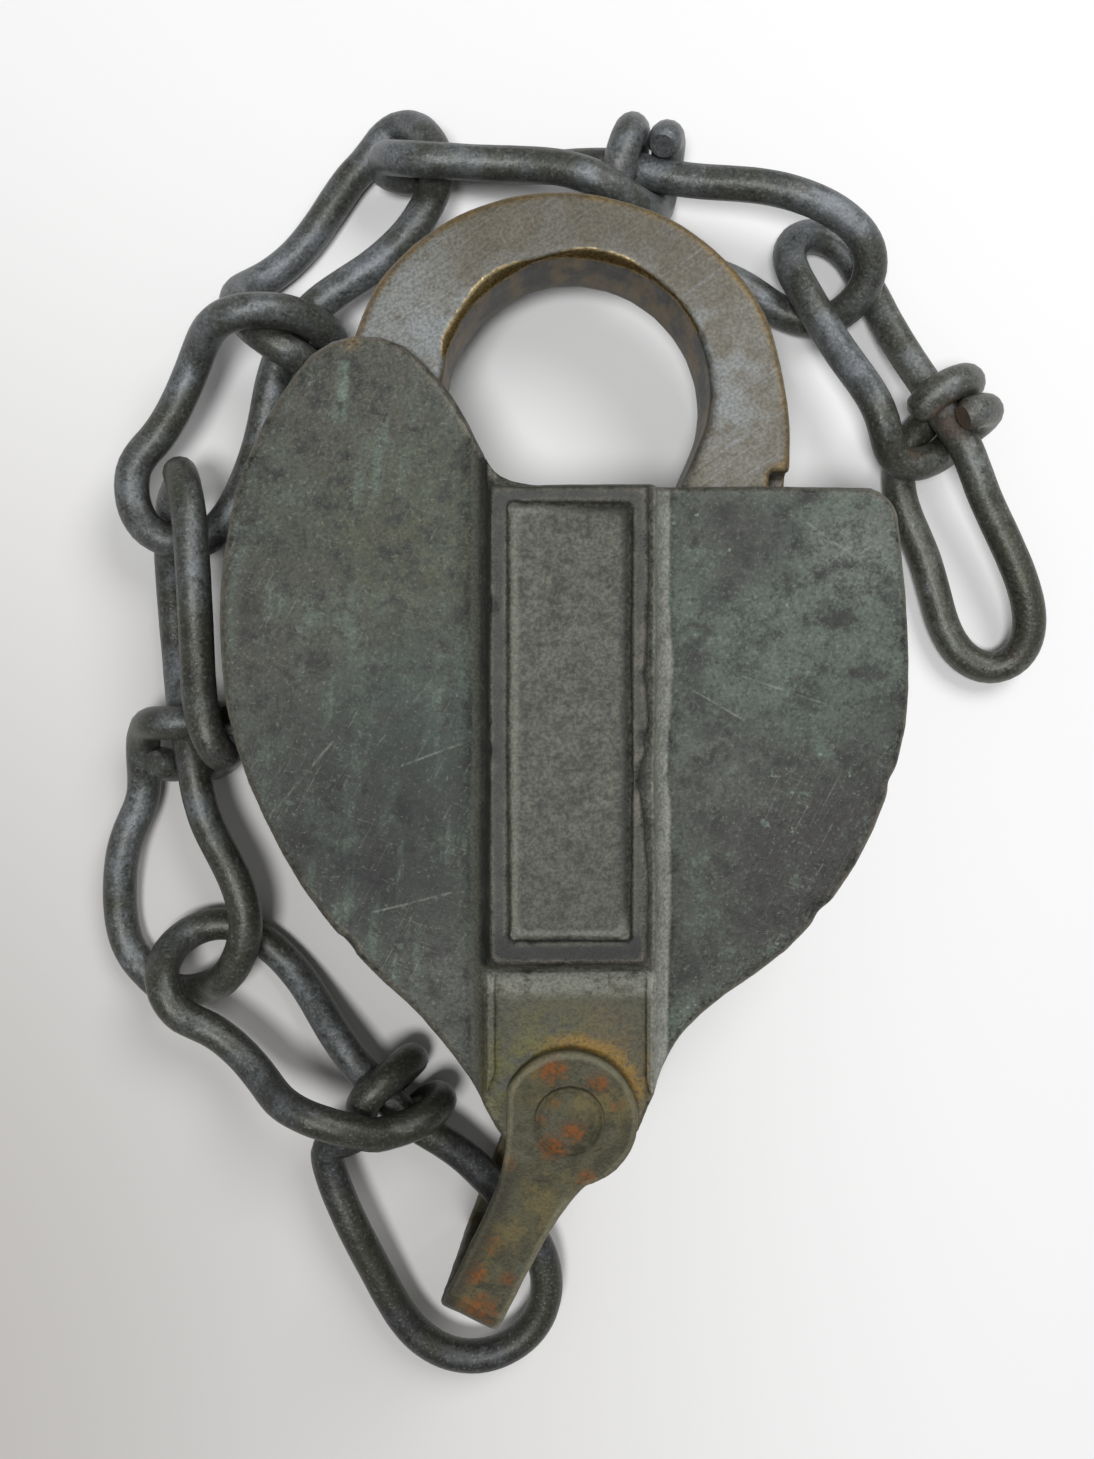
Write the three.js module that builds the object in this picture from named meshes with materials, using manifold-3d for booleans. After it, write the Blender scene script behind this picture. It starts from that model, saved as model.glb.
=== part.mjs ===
// Heart-shaped cast brass switch padlock with its captive chain of knotted wire links.
// Millimetres, +Z up. The lock lies on its keyhole side: z = 0 is the surface it lies on,
// x = 0 is the middle of the spine, and +Y points to the shackle.
import * as THREE from 'three';
import { mergeVertices } from 'three/addons/utils/BufferGeometryUtils.js';
import Module from 'manifold-3d';

const wasm = await Module();
wasm.setup();

const DEG = Math.PI / 180;
const GAP = 0.3;

// Heights of the sandwich, from the surface up
const DROP_THICK = 1.8;
const COVER_SPINE_Z = DROP_THICK + GAP;
const COVER_WING_Z = 4.7;
const COVER_TOP_Z = 7.0;
const CASE_Z = COVER_TOP_Z + GAP;
const ROOF_UNDER_Z = 20.0;
const WING_Z = 22.5;
const LOW_SPINE_Z = 24.2;
const SPINE_Z = 25.3;
const RIM_Z = 26.3;

// Case in plan
const WALL = 2.5;
const EDGE_ROUND = 0.8;
const LOBE = { x: -20.8, y: 30.6, r: 8.1 };
const SHOULDER = { x: 29.8, y: 19.9, r: 3.8 };
const TOP_EDGE_Y = 23.7;
const SPINE_HALF = 8.4;

// Raised frame on the spine and its recessed field
const FRAME = { left: -8.1, right: 7.6, top: 23.2, bottom: -24.3 };
const FIELD = { left: -6.1, right: 5.9, top: 21.3, bottom: -21.8 };

// Shackle
const PIN = { x: -21.5, y: 31.0, r: 2.4 };
const SHACKLE_Z = 7.4;
const SHACKLE_THICK = 12.2;
const SHACKLE_ROUND = 0.8;
const HEEL_R = 7.2;
const BOW_IN = { x: 0.8, y: 33.7, r: 13.9 };
const NOSE_IN_R = 33.8;
const NOSE_OUT_R = 44.9;
const NOSE_TOP = -9;
const NOSE_END = -27;
const OPEN_ANGLE = 95;

// Locking bolt, drawn back by its stroke
const BOLT = { left: -14, right: 8.4, low: 17.2, high: 20.3, z: 8.0, thick: 4.0 };
const STROKE = 5;
const LEVER_GATE = { x: -4.2, y: 14.6, post: 1.2 };
const LEVER_PIVOT = { x: -21.5, y: 4.0, r: 1.6 };
const LEVER_Z = [12.5, 14.4];
const LEVER_THICK = 1.5;

// Keyhole side
const KEY = { x: 0, y: -6, post: 1.5, hole: 3.6 };
const DROP_PIVOT = { x: 0, y: 12, r: 5.4 };
const DROP_FOOT = { x: 0, y: -7.5, r: 8.0 };

// Clevis and its rivet at the tip
const EYE = { x: -0.2, y: -39.8, r: 6.9 };
const STRAP_THICK = 1.8;
const STRAP_WIDTH = 6.4;
const STRAP_LENGTH = 23.2;
const STRAP_TURN = 243.3;
const STRAP_TWIST = 6;
const STRAP_FRONT_Z = LOW_SPINE_Z + GAP;
const RIVET_R = 2.2;
const RIVET_HEAD_R = 3.5;

// Chain wire
const WIRE = 4.0;
const WRAP_R = WIRE + 0.2;
const WRAP_PITCH = WIRE + 0.25;
const PASS_R = 7.8;

const brass = (name, color, roughness) =>
  new THREE.MeshStandardMaterial({ name, color, roughness, metalness: 0.6 });
const steel = (name, color, roughness) =>
  new THREE.MeshStandardMaterial({ name, color, roughness, metalness: 0.5 });

// A closed geometry becomes a solid for cutting and joining
function solid(geometry) {
  const bare = geometry.clone();
  bare.deleteAttribute('normal');
  bare.deleteAttribute('uv');
  const merged = mergeVertices(bare, 1e-5);
  return new wasm.Manifold(new wasm.Mesh({
    numProp: 3,
    vertProperties: new Float32Array(merged.attributes.position.array),
    triVerts: new Uint32Array(merged.index.array),
  }));
}

function geometryOf(body) {
  const mesh = body.getMesh();
  const geometry = new THREE.BufferGeometry();
  geometry.setAttribute('position', new THREE.BufferAttribute(mesh.vertProperties, 3));
  geometry.setIndex(new THREE.BufferAttribute(mesh.triVerts, 1));
  geometry.computeVertexNormals();
  return geometry;
}

// A flat outline made a slab between two heights, with a rounded edge if asked
function slab(shape, z0, z1, round = 0, segments = 8) {
  const geometry = new THREE.ExtrudeGeometry(shape, {
    depth: z1 - z0 - 2 * round,
    curveSegments: segments,
    bevelEnabled: round > 0,
    bevelThickness: round,
    bevelSize: round,
    bevelOffset: -round,
    bevelSegments: 2,
  });
  return geometry.translate(0, 0, z0 + round);
}

function rod(x, y, r, z0, z1, sides = 24) {
  const geometry = new THREE.CylinderGeometry(r, r, z1 - z0, sides);
  return geometry.rotateX(Math.PI / 2).translate(x, y, (z0 + z1) / 2);
}

function block(x0, x1, y0, y1, z0, z1) {
  const geometry = new THREE.BoxGeometry(x1 - x0, y1 - y0, z1 - z0);
  return geometry.translate((x0 + x1) / 2, (y0 + y1) / 2, (z0 + z1) / 2);
}

const vec = (x, y) => new THREE.Vector2(x, y);
const polar = (c, r, degrees) => vec(c.x + r * Math.cos(degrees * DEG), c.y + r * Math.sin(degrees * DEG));

// Heart outline: lobe over the shackle's heel on the left, square shoulder on the right, tip below
function heart() {
  const shape = new THREE.Shape();
  shape.moveTo(29.8, TOP_EDGE_Y);
  shape.lineTo(-3.6, TOP_EDGE_Y);
  shape.splineThru([vec(-6.4, 24.3), vec(-8.1, 25.9), vec(-11.7, 32.4), polar(LOBE, LOBE.r, 38)]);
  shape.absarc(LOBE.x, LOBE.y, LOBE.r, 42 * DEG, 148 * DEG, false);
  shape.splineThru([
    vec(-30.9, 29.9), vec(-33.8, 22.6), vec(-35.4, 11.1), vec(-34.4, -1.0), vec(-29.7, -13.0),
    vec(-22.8, -22.8), vec(-15.0, -30.5), vec(-10.1, -37.0), vec(-7.2, -42.2), vec(-4.2, -45.1),
    vec(0, -46.0), vec(4.0, -45.0), vec(7.0, -41.8), vec(10.2, -34.4), vec(14.0, -29.8),
    vec(23.3, -22.8), vec(30.3, -13.0), vec(34.3, -1.5), vec(34.7, 9.1),
    vec(SHOULDER.x + SHOULDER.r, SHOULDER.y),
  ]);
  shape.absarc(SHOULDER.x, SHOULDER.y, SHOULDER.r, 5 * DEG, 90 * DEG, false);
  return shape;
}

// The same outline moved inwards by a wall
function inset(shape, distance, segments) {
  const points = shape.extractPoints(segments).shape;
  if (points[0].distanceTo(points[points.length - 1]) < 1e-6) points.pop();
  const moved = points.map((p, i) => {
    const before = points[(i + points.length - 1) % points.length];
    const after = points[(i + 1) % points.length];
    const along = after.clone().sub(before).normalize();
    return vec(p.x - along.y * distance, p.y + along.x * distance);
  });
  return new THREE.Shape(moved);
}

// Spine section across X: a flat crest between two hollow fillets that run out on the wings
function spineSection(base, crest) {
  const height = crest - base;
  const shape = new THREE.Shape();
  shape.moveTo(-SPINE_HALF - height, base - 0.4);
  shape.lineTo(SPINE_HALF + height, base - 0.4);
  shape.lineTo(SPINE_HALF + height, base);
  shape.absarc(SPINE_HALF + height, crest, height, 270 * DEG, 180 * DEG, true);
  shape.absarc(-SPINE_HALF - height, crest, height, 0, -90 * DEG, true);
  return shape;
}

// Spine crest of one side, trimmed by the heart outline
function spine(base, crest, z0, z1) {
  const section = spineSection(Math.abs(base), Math.abs(crest));
  const length = 80;
  const ridge = new THREE.ExtrudeGeometry(section, { depth: length, curveSegments: 5, bevelEnabled: false });
  ridge.rotateX(Math.PI / 2).translate(0, 30, 0);
  return solid(ridge).intersect(solid(slab(inset(heart(), 0.25, 3), z0, z1)));
}

// Raised rim round the field, with the dents that its right edge has
function rim() {
  const shape = new THREE.Shape();
  shape.moveTo(FRAME.left, FRAME.top);
  shape.lineTo(FRAME.left - 0.2, 0);
  shape.lineTo(FRAME.left, FRAME.bottom);
  shape.lineTo(FRAME.right, FRAME.bottom);
  shape.lineTo(FRAME.right + 0.1, -15);
  shape.splineThru([vec(7.2, -9), vec(7.0, -5), vec(7.7, -1.5), vec(7.5, 6), vec(FRAME.right + 0.1, 14)]);
  shape.lineTo(FRAME.right, FRAME.top);
  const field = new THREE.Path();
  field.moveTo(FIELD.left, FIELD.top);
  field.lineTo(FIELD.right, FIELD.top);
  field.lineTo(FIELD.right, FIELD.bottom);
  field.lineTo(FIELD.left, FIELD.bottom);
  shape.holes.push(field);
  return slab(shape, SPINE_Z - 0.8, RIM_Z, 0.35, 3);
}

// Sector of a ring about the shackle pin, where the swinging shackle passes through the wall
function pinSector(rIn, rOut, from, to) {
  const shape = new THREE.Shape();
  shape.absarc(PIN.x, PIN.y, rOut, from * DEG, to * DEG, false);
  shape.absarc(PIN.x, PIN.y, rIn, to * DEG, from * DEG, true);
  return shape;
}

const COVER_PINS = [
  { x: -29.6, y: 12 }, { x: -24.6, y: -13.5 }, { x: -7, y: -31 }, { x: 24.6, y: -14 }, { x: 29.6, y: 10 },
];
const COVER_PIN_R = 1.3;
const BOSS_R = 3.4;

function caseGeometry() {
  const outer = slab(heart(), CASE_Z - 2, WING_Z, EDGE_ROUND, 3);
  let body = solid(outer).subtract(solid(block(-60, 60, -80, 80, 0, CASE_Z)));
  let cavity = solid(slab(inset(heart(), WALL, 3), CASE_Z - 1, ROOF_UNDER_Z));
  cavity = cavity.subtract(solid(block(-30, 30, -60, -27.5, 0, 30)));
  for (const pin of COVER_PINS) cavity = cavity.subtract(solid(rod(pin.x, pin.y, BOSS_R, 0, 30, 20)));
  body = body.subtract(cavity);
  body = body.subtract(solid(rod(PIN.x, PIN.y, HEEL_R + 2 * GAP, 0, ROOF_UNDER_Z, 40)));
  const swing = pinSector(HEEL_R - 1, 20, 8, 100 + OPEN_ANGLE);
  body = body.subtract(solid(slab(swing, 0, ROOF_UNDER_Z, 0, 16)));
  const slot = pinSector(NOSE_IN_R - GAP, NOSE_OUT_R + GAP, NOSE_END - 2, 0);
  body = body.subtract(solid(slab(slot, 0, ROOF_UNDER_Z, 0, 12)));
  body = body.add(spine(WING_Z, SPINE_Z, WING_Z - 1, 40));
  const low = solid(block(-SPINE_HALF + 0.8, SPINE_HALF - 0.8, -60, FRAME.bottom - 0.9, LOW_SPINE_Z, 40));
  body = body.subtract(low);
  body = body.subtract(solid(rod(EYE.x, EYE.y, EYE.r + 1.6, LOW_SPINE_Z, 40, 32)));
  body = body.add(solid(rim()));
  body = body.subtract(solid(rod(EYE.x, EYE.y, RIVET_R + GAP, 0, 40)));
  body = body.subtract(solid(rod(PIN.x, PIN.y, PIN.r + GAP, 0, WING_Z - 1)));
  for (const pin of COVER_PINS) {
    body = body.subtract(solid(rod(pin.x, pin.y, COVER_PIN_R + GAP, 0, 16)));
  }
  body = body.add(solid(rod(KEY.x, KEY.y, KEY.post + 1.5, ROOF_UNDER_Z - 2, ROOF_UNDER_Z + 1)));
  body = body.subtract(solid(rod(KEY.x, KEY.y, KEY.post + GAP, 0, ROOF_UNDER_Z)));
  return geometryOf(body);
}

// Keyhole: a round post hole with a slot for the key's bit
function keyhole() {
  const shape = new THREE.Shape();
  const half = 1.2;
  const open = Math.asin(half / KEY.hole);
  shape.absarc(KEY.x, KEY.y, KEY.hole, -Math.PI / 2 + open, Math.PI * 1.5 - open, false);
  shape.lineTo(KEY.x - half, KEY.y - 8.2);
  shape.lineTo(KEY.x + half, KEY.y - 8.2);
  return shape;
}

function coverGeometry() {
  const plate = slab(heart(), COVER_WING_Z, COVER_TOP_Z, 0.5, 3);
  let body = solid(plate);
  const mirrored = spine(COVER_WING_Z, 2 * COVER_WING_Z - COVER_SPINE_Z, COVER_WING_Z - 0.6, 12);
  body = body.add(mirrored.transform([1, 0, 0, 0, 0, 1, 0, 0, 0, 0, -1, 0, 0, 0, 2 * COVER_WING_Z, 1]));
  body = body.subtract(solid(slab(keyhole(), -5, 12, 0, 8)));
  body = body.subtract(solid(rod(EYE.x, EYE.y, RIVET_R + GAP, -5, 12)));
  body = body.subtract(solid(rod(DROP_PIVOT.x, DROP_PIVOT.y, 1.5 + GAP, -5, 12)));
  body = body.subtract(solid(rod(PIN.x, PIN.y, PIN.r + GAP, -5, 12)));
  for (const pin of COVER_PINS) {
    body = body.subtract(solid(rod(pin.x, pin.y, COVER_PIN_R + GAP, -5, 12)));
  }
  return geometryOf(body);
}

// Bow with flat faces: heel eye round the pin, round bow, and a nose whose sides are arcs about the pin
function shacklePlan() {
  const shape = new THREE.Shape();
  const start = polar(PIN, NOSE_OUT_R, NOSE_TOP);
  shape.moveTo(start.x, start.y);
  shape.splineThru([
    vec(22.7, 32.9), vec(19.6, 43.1), vec(11.6, 51.0), vec(0.6, 54.2),
    vec(-10.3, 52.3), vec(-18.8, 45.9), polar(PIN, HEEL_R, 98),
  ]);
  shape.absarc(PIN.x, PIN.y, HEEL_R, 102 * DEG, 365 * DEG, false);
  shape.absarc(BOW_IN.x, BOW_IN.y, BOW_IN.r, 174 * DEG, 0, true);
  shape.splineThru([vec(14.3, 30.6), vec(12.9, 27.0), polar(PIN, NOSE_IN_R, NOSE_TOP - 3)]);
  shape.absarc(PIN.x, PIN.y, NOSE_IN_R, (NOSE_TOP - 5) * DEG, NOSE_END * DEG, true);
  shape.absarc(PIN.x, PIN.y, NOSE_OUT_R, NOSE_END * DEG, (NOSE_TOP - 1.5) * DEG, false);
  return shape;
}

function shackleGeometry() {
  const top = SHACKLE_Z + SHACKLE_THICK;
  let body = solid(slab(shacklePlan(), SHACKLE_Z, top, SHACKLE_ROUND, 7));
  body = body.subtract(solid(rod(PIN.x, PIN.y, PIN.r + GAP, 0, 30)));
  const notch = block(5, BOLT.right + STROKE + 1, BOLT.low - 0.5, BOLT.high + 0.5, 0, 30);
  body = body.subtract(solid(notch));
  const chip = block(20.6, 30, 23.4, 25.6, top - 3.2, 30);
  body = body.subtract(solid(chip));
  return geometryOf(body);
}

// Bolt: a plate with a tip, a talon notch for the key and a round post that the levers hold
function boltGeometry() {
  const shape = new THREE.Shape();
  shape.moveTo(BOLT.right, BOLT.low);
  shape.lineTo(BOLT.right, BOLT.high);
  shape.lineTo(BOLT.left, BOLT.high);
  shape.lineTo(BOLT.left, 9.5);
  shape.lineTo(-3.2, 9.5);
  shape.lineTo(-2.4, 11.6);
  shape.lineTo(1.6, 11.6);
  shape.lineTo(2.4, 9.5);
  shape.lineTo(5.4, 9.5);
  shape.lineTo(5.4, 13.6);
  shape.lineTo(3.2, 14.6);
  shape.lineTo(3.2, BOLT.low);
  let body = solid(slab(shape, BOLT.z, BOLT.z + BOLT.thick, 0, 4));
  const post = rod(LEVER_GATE.x, LEVER_GATE.y, LEVER_GATE.post, BOLT.z + 1, 16.5, 16);
  body = body.add(solid(post));
  const guide = block(BOLT.left - 1, BOLT.left + 3, 13.2, 16.6, BOLT.z + 1.2, BOLT.z + BOLT.thick + 1);
  body = body.subtract(solid(guide));
  return geometryOf(body);
}

// Lever: an arm on its post, with a window of two pockets joined by the gate, and a belly for the key
function leverGeometry(z) {
  const shape = new THREE.Shape();
  shape.absarc(LEVER_PIVOT.x, LEVER_PIVOT.y, 4.0, 80 * DEG, 290 * DEG, false);
  shape.splineThru([vec(-10, 2.5), vec(-3, 2.2), vec(4.5, 4.2)]);
  shape.lineTo(7.4, 8.6);
  shape.lineTo(7.4, 19.4);
  shape.lineTo(-8.4, 19.4);
  shape.splineThru([vec(-12, 12.5), vec(-17, 8.8), polar(LEVER_PIVOT, 4.0, 84)]);
  const window = new THREE.Path();
  const { x, y } = LEVER_GATE;
  const side = 1.9;
  const pocket = 3.0;
  const gate = 1.6;
  window.moveTo(x - side, y - pocket);
  window.lineTo(x + side, y - pocket);
  window.lineTo(x + side, y - gate);
  window.lineTo(x + STROKE - side, y - gate);
  window.lineTo(x + STROKE - side, y - pocket);
  window.lineTo(x + STROKE + side, y - pocket);
  window.lineTo(x + STROKE + side, y + pocket);
  window.lineTo(x + STROKE - side, y + pocket);
  window.lineTo(x + STROKE - side, y + gate);
  window.lineTo(x + side, y + gate);
  window.lineTo(x + side, y + pocket);
  window.lineTo(x - side, y + pocket);
  shape.holes.push(window);
  let body = solid(slab(shape, z, z + LEVER_THICK, 0, 6));
  body = body.subtract(solid(rod(LEVER_PIVOT.x, LEVER_PIVOT.y, LEVER_PIVOT.r + GAP, 0, 30)));
  return geometryOf(body);
}

// Round wire bent along a route of points
function wireGeometry(points, r, steps, sides) {
  const route = new THREE.CatmullRomCurve3(points, false, 'centripetal');
  route.arcLengthDivisions = 1200;
  const section = new THREE.Shape();
  section.absarc(0, 0, r, 0, Math.PI * 2, false);
  const ring = new THREE.Shape(section.getSpacedPoints(sides).slice(0, sides));
  return new THREE.ExtrudeGeometry(ring, { steps, extrudePath: route, bevelEnabled: false });
}

function boltSpringGeometry() {
  const turns = 5;
  const coil = 1.2;
  const x0 = -22.5;
  const x1 = BOLT.left + 2.4;
  const centre = { y: 14.9, z: BOLT.z + 3.4 };
  const points = [];
  for (let i = 0; i <= turns * 8; i += 1) {
    const angle = (i / 8) * Math.PI * 2;
    const x = x0 + ((x1 - x0) * i) / (turns * 8);
    points.push(new THREE.Vector3(x, centre.y + coil * Math.cos(angle), centre.z + coil * Math.sin(angle)));
  }
  return wireGeometry(points, 0.35, turns * 10, 5);
}

// Lever spring: a wire that bears on the lever's crown and on the side of the case
function leverSpringGeometry(z) {
  const height = z + LEVER_THICK / 2;
  const points = [[-8.8, 21.6], [-12.5, 20.4], [-18, 21.0], [-22.5, 19.2], [-27.5, 20.6]];
  return wireGeometry(points.map(([x, y]) => new THREE.Vector3(x, y, height)), 0.4, 16, 6);
}

function dropCoverGeometry() {
  const shape = new THREE.Shape();
  shape.absarc(DROP_PIVOT.x, DROP_PIVOT.y, DROP_PIVOT.r, 8 * DEG, 172 * DEG, false);
  shape.splineThru([vec(-6.0, 4.5), polar(DROP_FOOT, DROP_FOOT.r, 174)]);
  shape.absarc(DROP_FOOT.x, DROP_FOOT.y, DROP_FOOT.r, 178 * DEG, 362 * DEG, false);
  shape.splineThru([vec(6.0, 4.5)]);
  let body = solid(slab(shape, 0, DROP_THICK, 0.3, 7));
  body = body.subtract(solid(rod(DROP_PIVOT.x, DROP_PIVOT.y, 1.5 + GAP, -5, 12)));
  return geometryOf(body);
}

// Clevis: a strap bent into a U round the tip, with an eye at each end for the rivet. Its back leg
// points a little more downwards than its front leg.
function clevisGeometry() {
  const half = STRAP_WIDTH / 2;
  const neck = (side) => new THREE.CubicBezierCurve(
    polar({ x: 0, y: 0 }, EYE.r, side * 40), vec(9.5, side * 3.2), vec(11, side * half), vec(15, side * half),
  ).getPoints(5);
  const round = Array.from({ length: 25 }, (_, i) => polar({ x: 0, y: 0 }, EYE.r, 40 + i * 10));
  const end = STRAP_LENGTH - 2;
  const outline = [...round.slice(1, -1), ...neck(-1), vec(end, -half), vec(end, half), ...neck(1).reverse()];
  const eyeArm = (z) => solid(slab(new THREE.Shape(outline), z, z + STRAP_THICK, 0.35, 1));
  const frontTop = STRAP_FRONT_Z + STRAP_THICK;
  const profile = new THREE.Shape();
  const r = 3.4;
  profile.moveTo(STRAP_LENGTH - 6, 0);
  profile.lineTo(STRAP_LENGTH - r, 0);
  profile.absarc(STRAP_LENGTH - r, r, r, -90 * DEG, 0, false);
  profile.lineTo(STRAP_LENGTH, frontTop - r);
  profile.absarc(STRAP_LENGTH - r, frontTop - r, r, 0, 90 * DEG, false);
  profile.lineTo(STRAP_LENGTH - 6, frontTop);
  profile.lineTo(STRAP_LENGTH - 6, frontTop - STRAP_THICK);
  profile.lineTo(STRAP_LENGTH - r, frontTop - STRAP_THICK);
  profile.absarc(STRAP_LENGTH - r, frontTop - r, r - STRAP_THICK, 90 * DEG, 0, true);
  profile.lineTo(STRAP_LENGTH - STRAP_THICK, r);
  profile.absarc(STRAP_LENGTH - r, r, r - STRAP_THICK, 0, -90 * DEG, true);
  profile.lineTo(STRAP_LENGTH - 6, STRAP_THICK);
  const bend = slab(profile, 0, STRAP_WIDTH, 0.35, 3).rotateX(Math.PI / 2).translate(0, STRAP_WIDTH / 2, 0);
  let body = eyeArm(0).add(eyeArm(STRAP_FRONT_Z)).add(solid(bend));
  body = body.subtract(solid(rod(0, 0, RIVET_R + GAP, -5, 40)));
  return geometryOf(body.warp((point) => {
    const turn = STRAP_TWIST * DEG * (1 - point[2] / frontTop);
    const [x, y] = point;
    point[0] = x * Math.cos(turn) - y * Math.sin(turn);
    point[1] = x * Math.sin(turn) + y * Math.cos(turn);
  }));
}

// Rivet: a low dome over a shank that is set flush below
function clevisRivetGeometry() {
  const seat = STRAP_FRONT_Z + STRAP_THICK + GAP;
  const profile = [
    vec(0, 0.1), vec(RIVET_R, 0.1), vec(RIVET_R, seat), vec(RIVET_HEAD_R, seat), vec(RIVET_HEAD_R, seat + 0.35),
    vec(RIVET_HEAD_R * 0.86, seat + 0.75), vec(RIVET_HEAD_R * 0.55, seat + 1.05), vec(0, seat + 1.2),
  ];
  return new THREE.LatheGeometry(profile, 24).rotateX(Math.PI / 2);
}

// Directions of one loop of a link: out along the loop, and across it to the strand that wraps
function loopAxes(loop) {
  const heading = loop.heading * DEG;
  const pitch = loop.pitch * DEG;
  const roll = loop.roll * DEG;
  const out = new THREE.Vector3(Math.cos(heading), Math.sin(heading), 0);
  const level = new THREE.Vector3(-out.y, out.x, 0);
  out.multiplyScalar(Math.cos(pitch)).setZ(Math.sin(pitch));
  const lift = new THREE.Vector3().crossVectors(out, level);
  const across = level.multiplyScalar(Math.cos(roll)).addScaledVector(lift, Math.sin(roll));
  return { out, across: across.multiplyScalar(loop.hand) };
}

// Points of a loop from the strand that wraps, round its end, and back to the straight core
function loopRoute(knot, axes, { length, width, shift }) {
  const half = width / 2;
  const shape = [
    [WRAP_PITCH + 3.2, (PASS_R + half + shift) / 2],
    [length * 0.52, half * 0.97 + shift],
    [length - half, half + shift],
    [length - half * 0.3, half * 0.72 + shift],
    [length, shift],
    [length - half * 0.3, -half * 0.72 + shift],
    [length - half, -half + shift],
    [length * 0.52, -half * 0.9 + shift * 0.9],
    [WRAP_PITCH + 3.2, (shift - half) * 0.45],
  ];
  return shape.map(([a, b]) => knot.clone().addScaledVector(axes.out, a).addScaledVector(axes.across, b));
}

// The free strand of a loop passes beside the other strand's turn and then winds once round the core,
// on the far half of the knot. side is -1 or 1, for the loop that the strand comes from. Each turn is an
// angle round the core, a distance from it and a place along it in wire pitches. tuck turns the whole
// winding round the core.
function wrapRoute(knot, axis, axes, side, tuck) {
  const radial = axes.across.clone().addScaledVector(axis, -axes.across.dot(axis)).normalize();
  const normal = new THREE.Vector3().crossVectors(axis, radial);
  const turns = [
    [0, PASS_R, 0.8], [24, PASS_R * 0.96, 0.3], [54, PASS_R * 0.78, -0.25], [90, WRAP_R + 0.2, -0.7],
  ];
  for (let step = 0; step <= 5; step++) turns.push([132.5 + 42.5 * step, WRAP_R, -0.8 + 0.06 * step]);
  return turns.map(([degrees, reach, along]) => knot.clone()
    .addScaledVector(axis, side * WRAP_PITCH * along)
    .addScaledVector(radial, reach * Math.cos((degrees + tuck) * DEG))
    .addScaledVector(normal, reach * Math.sin((degrees + tuck) * DEG)));
}

// A link is one wire: it winds round its own waist, makes the first loop, runs straight through the
// knot, makes the second loop and winds round the waist again.
function linkRoute(link) {
  const knot = new THREE.Vector3(...link.knot);
  const near = loopAxes(link.near);
  const far = loopAxes(link.far);
  const axis = far.out.clone().sub(near.out).normalize();
  return [
    ...wrapRoute(knot, axis, near, -1, link.near.tuck).reverse(),
    ...loopRoute(knot, near, link.near),
    knot.clone().addScaledVector(axis, -WRAP_PITCH * 0.7),
    knot.clone().addScaledVector(axis, WRAP_PITCH * 0.7),
    ...loopRoute(knot, far, link.far).reverse(),
    ...wrapRoute(knot, axis, far, 1, link.far.tuck),
  ];
}

// Centre lines of all the links. Strands that would touch are eased apart, none goes into the bow's
// crown, and none sinks below the plane that the lock lies on. The moves are spread along each wire so
// that it keeps its bends.
function settle(routes) {
  const lines = routes.map((route) => {
    const curve = new THREE.CatmullRomCurve3(route, false, 'centripetal');
    return curve.getSpacedPoints(LINK_STEPS);
  });
  const all = lines.flatMap((line, link) => {
    return line.map((point, i) => ({ point, link, i, move: new THREE.Vector3() }));
  });
  const apart = new THREE.Vector3();
  for (let pass = 0; pass < SETTLE_PASSES; pass++) {
    all.forEach((a, index) => {
      for (const b of all.slice(index + 1)) {
        const same = a.link === b.link;
        if (same && b.i - a.i < NEIGHBOURS) continue;
        const wanted = WIRE + GAP + (same ? 0 : LINK_SLACK);
        const distance = apart.subVectors(a.point, b.point).length();
        if (distance >= wanted) continue;
        apart.multiplyScalar((wanted - distance) / distance / 3);
        a.move.add(apart);
        b.move.sub(apart);
      }
      a.move.z += Math.max(0, WIRE / 2 + LINK_SLACK - a.point.z) / 2;
      const fromBow = new THREE.Vector3(a.point.x - BOW_IN.x, a.point.y - BOW_IN.y, 0);
      const inside = BOW_CLEAR - fromBow.length();
      const level = a.point.z > SHACKLE_Z - WIRE / 2;
      if (inside > 0 && level) a.move.addScaledVector(fromBow.normalize(), inside / 2);
    });
    for (const { point, link, i, move } of all) {
      point.add(move);
      lines[link][i - 1]?.addScaledVector(move, 0.5);
      lines[link][i + 1]?.addScaledVector(move, 0.5);
      move.set(0, 0, 0);
    }
  }
  return lines;
}

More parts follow.
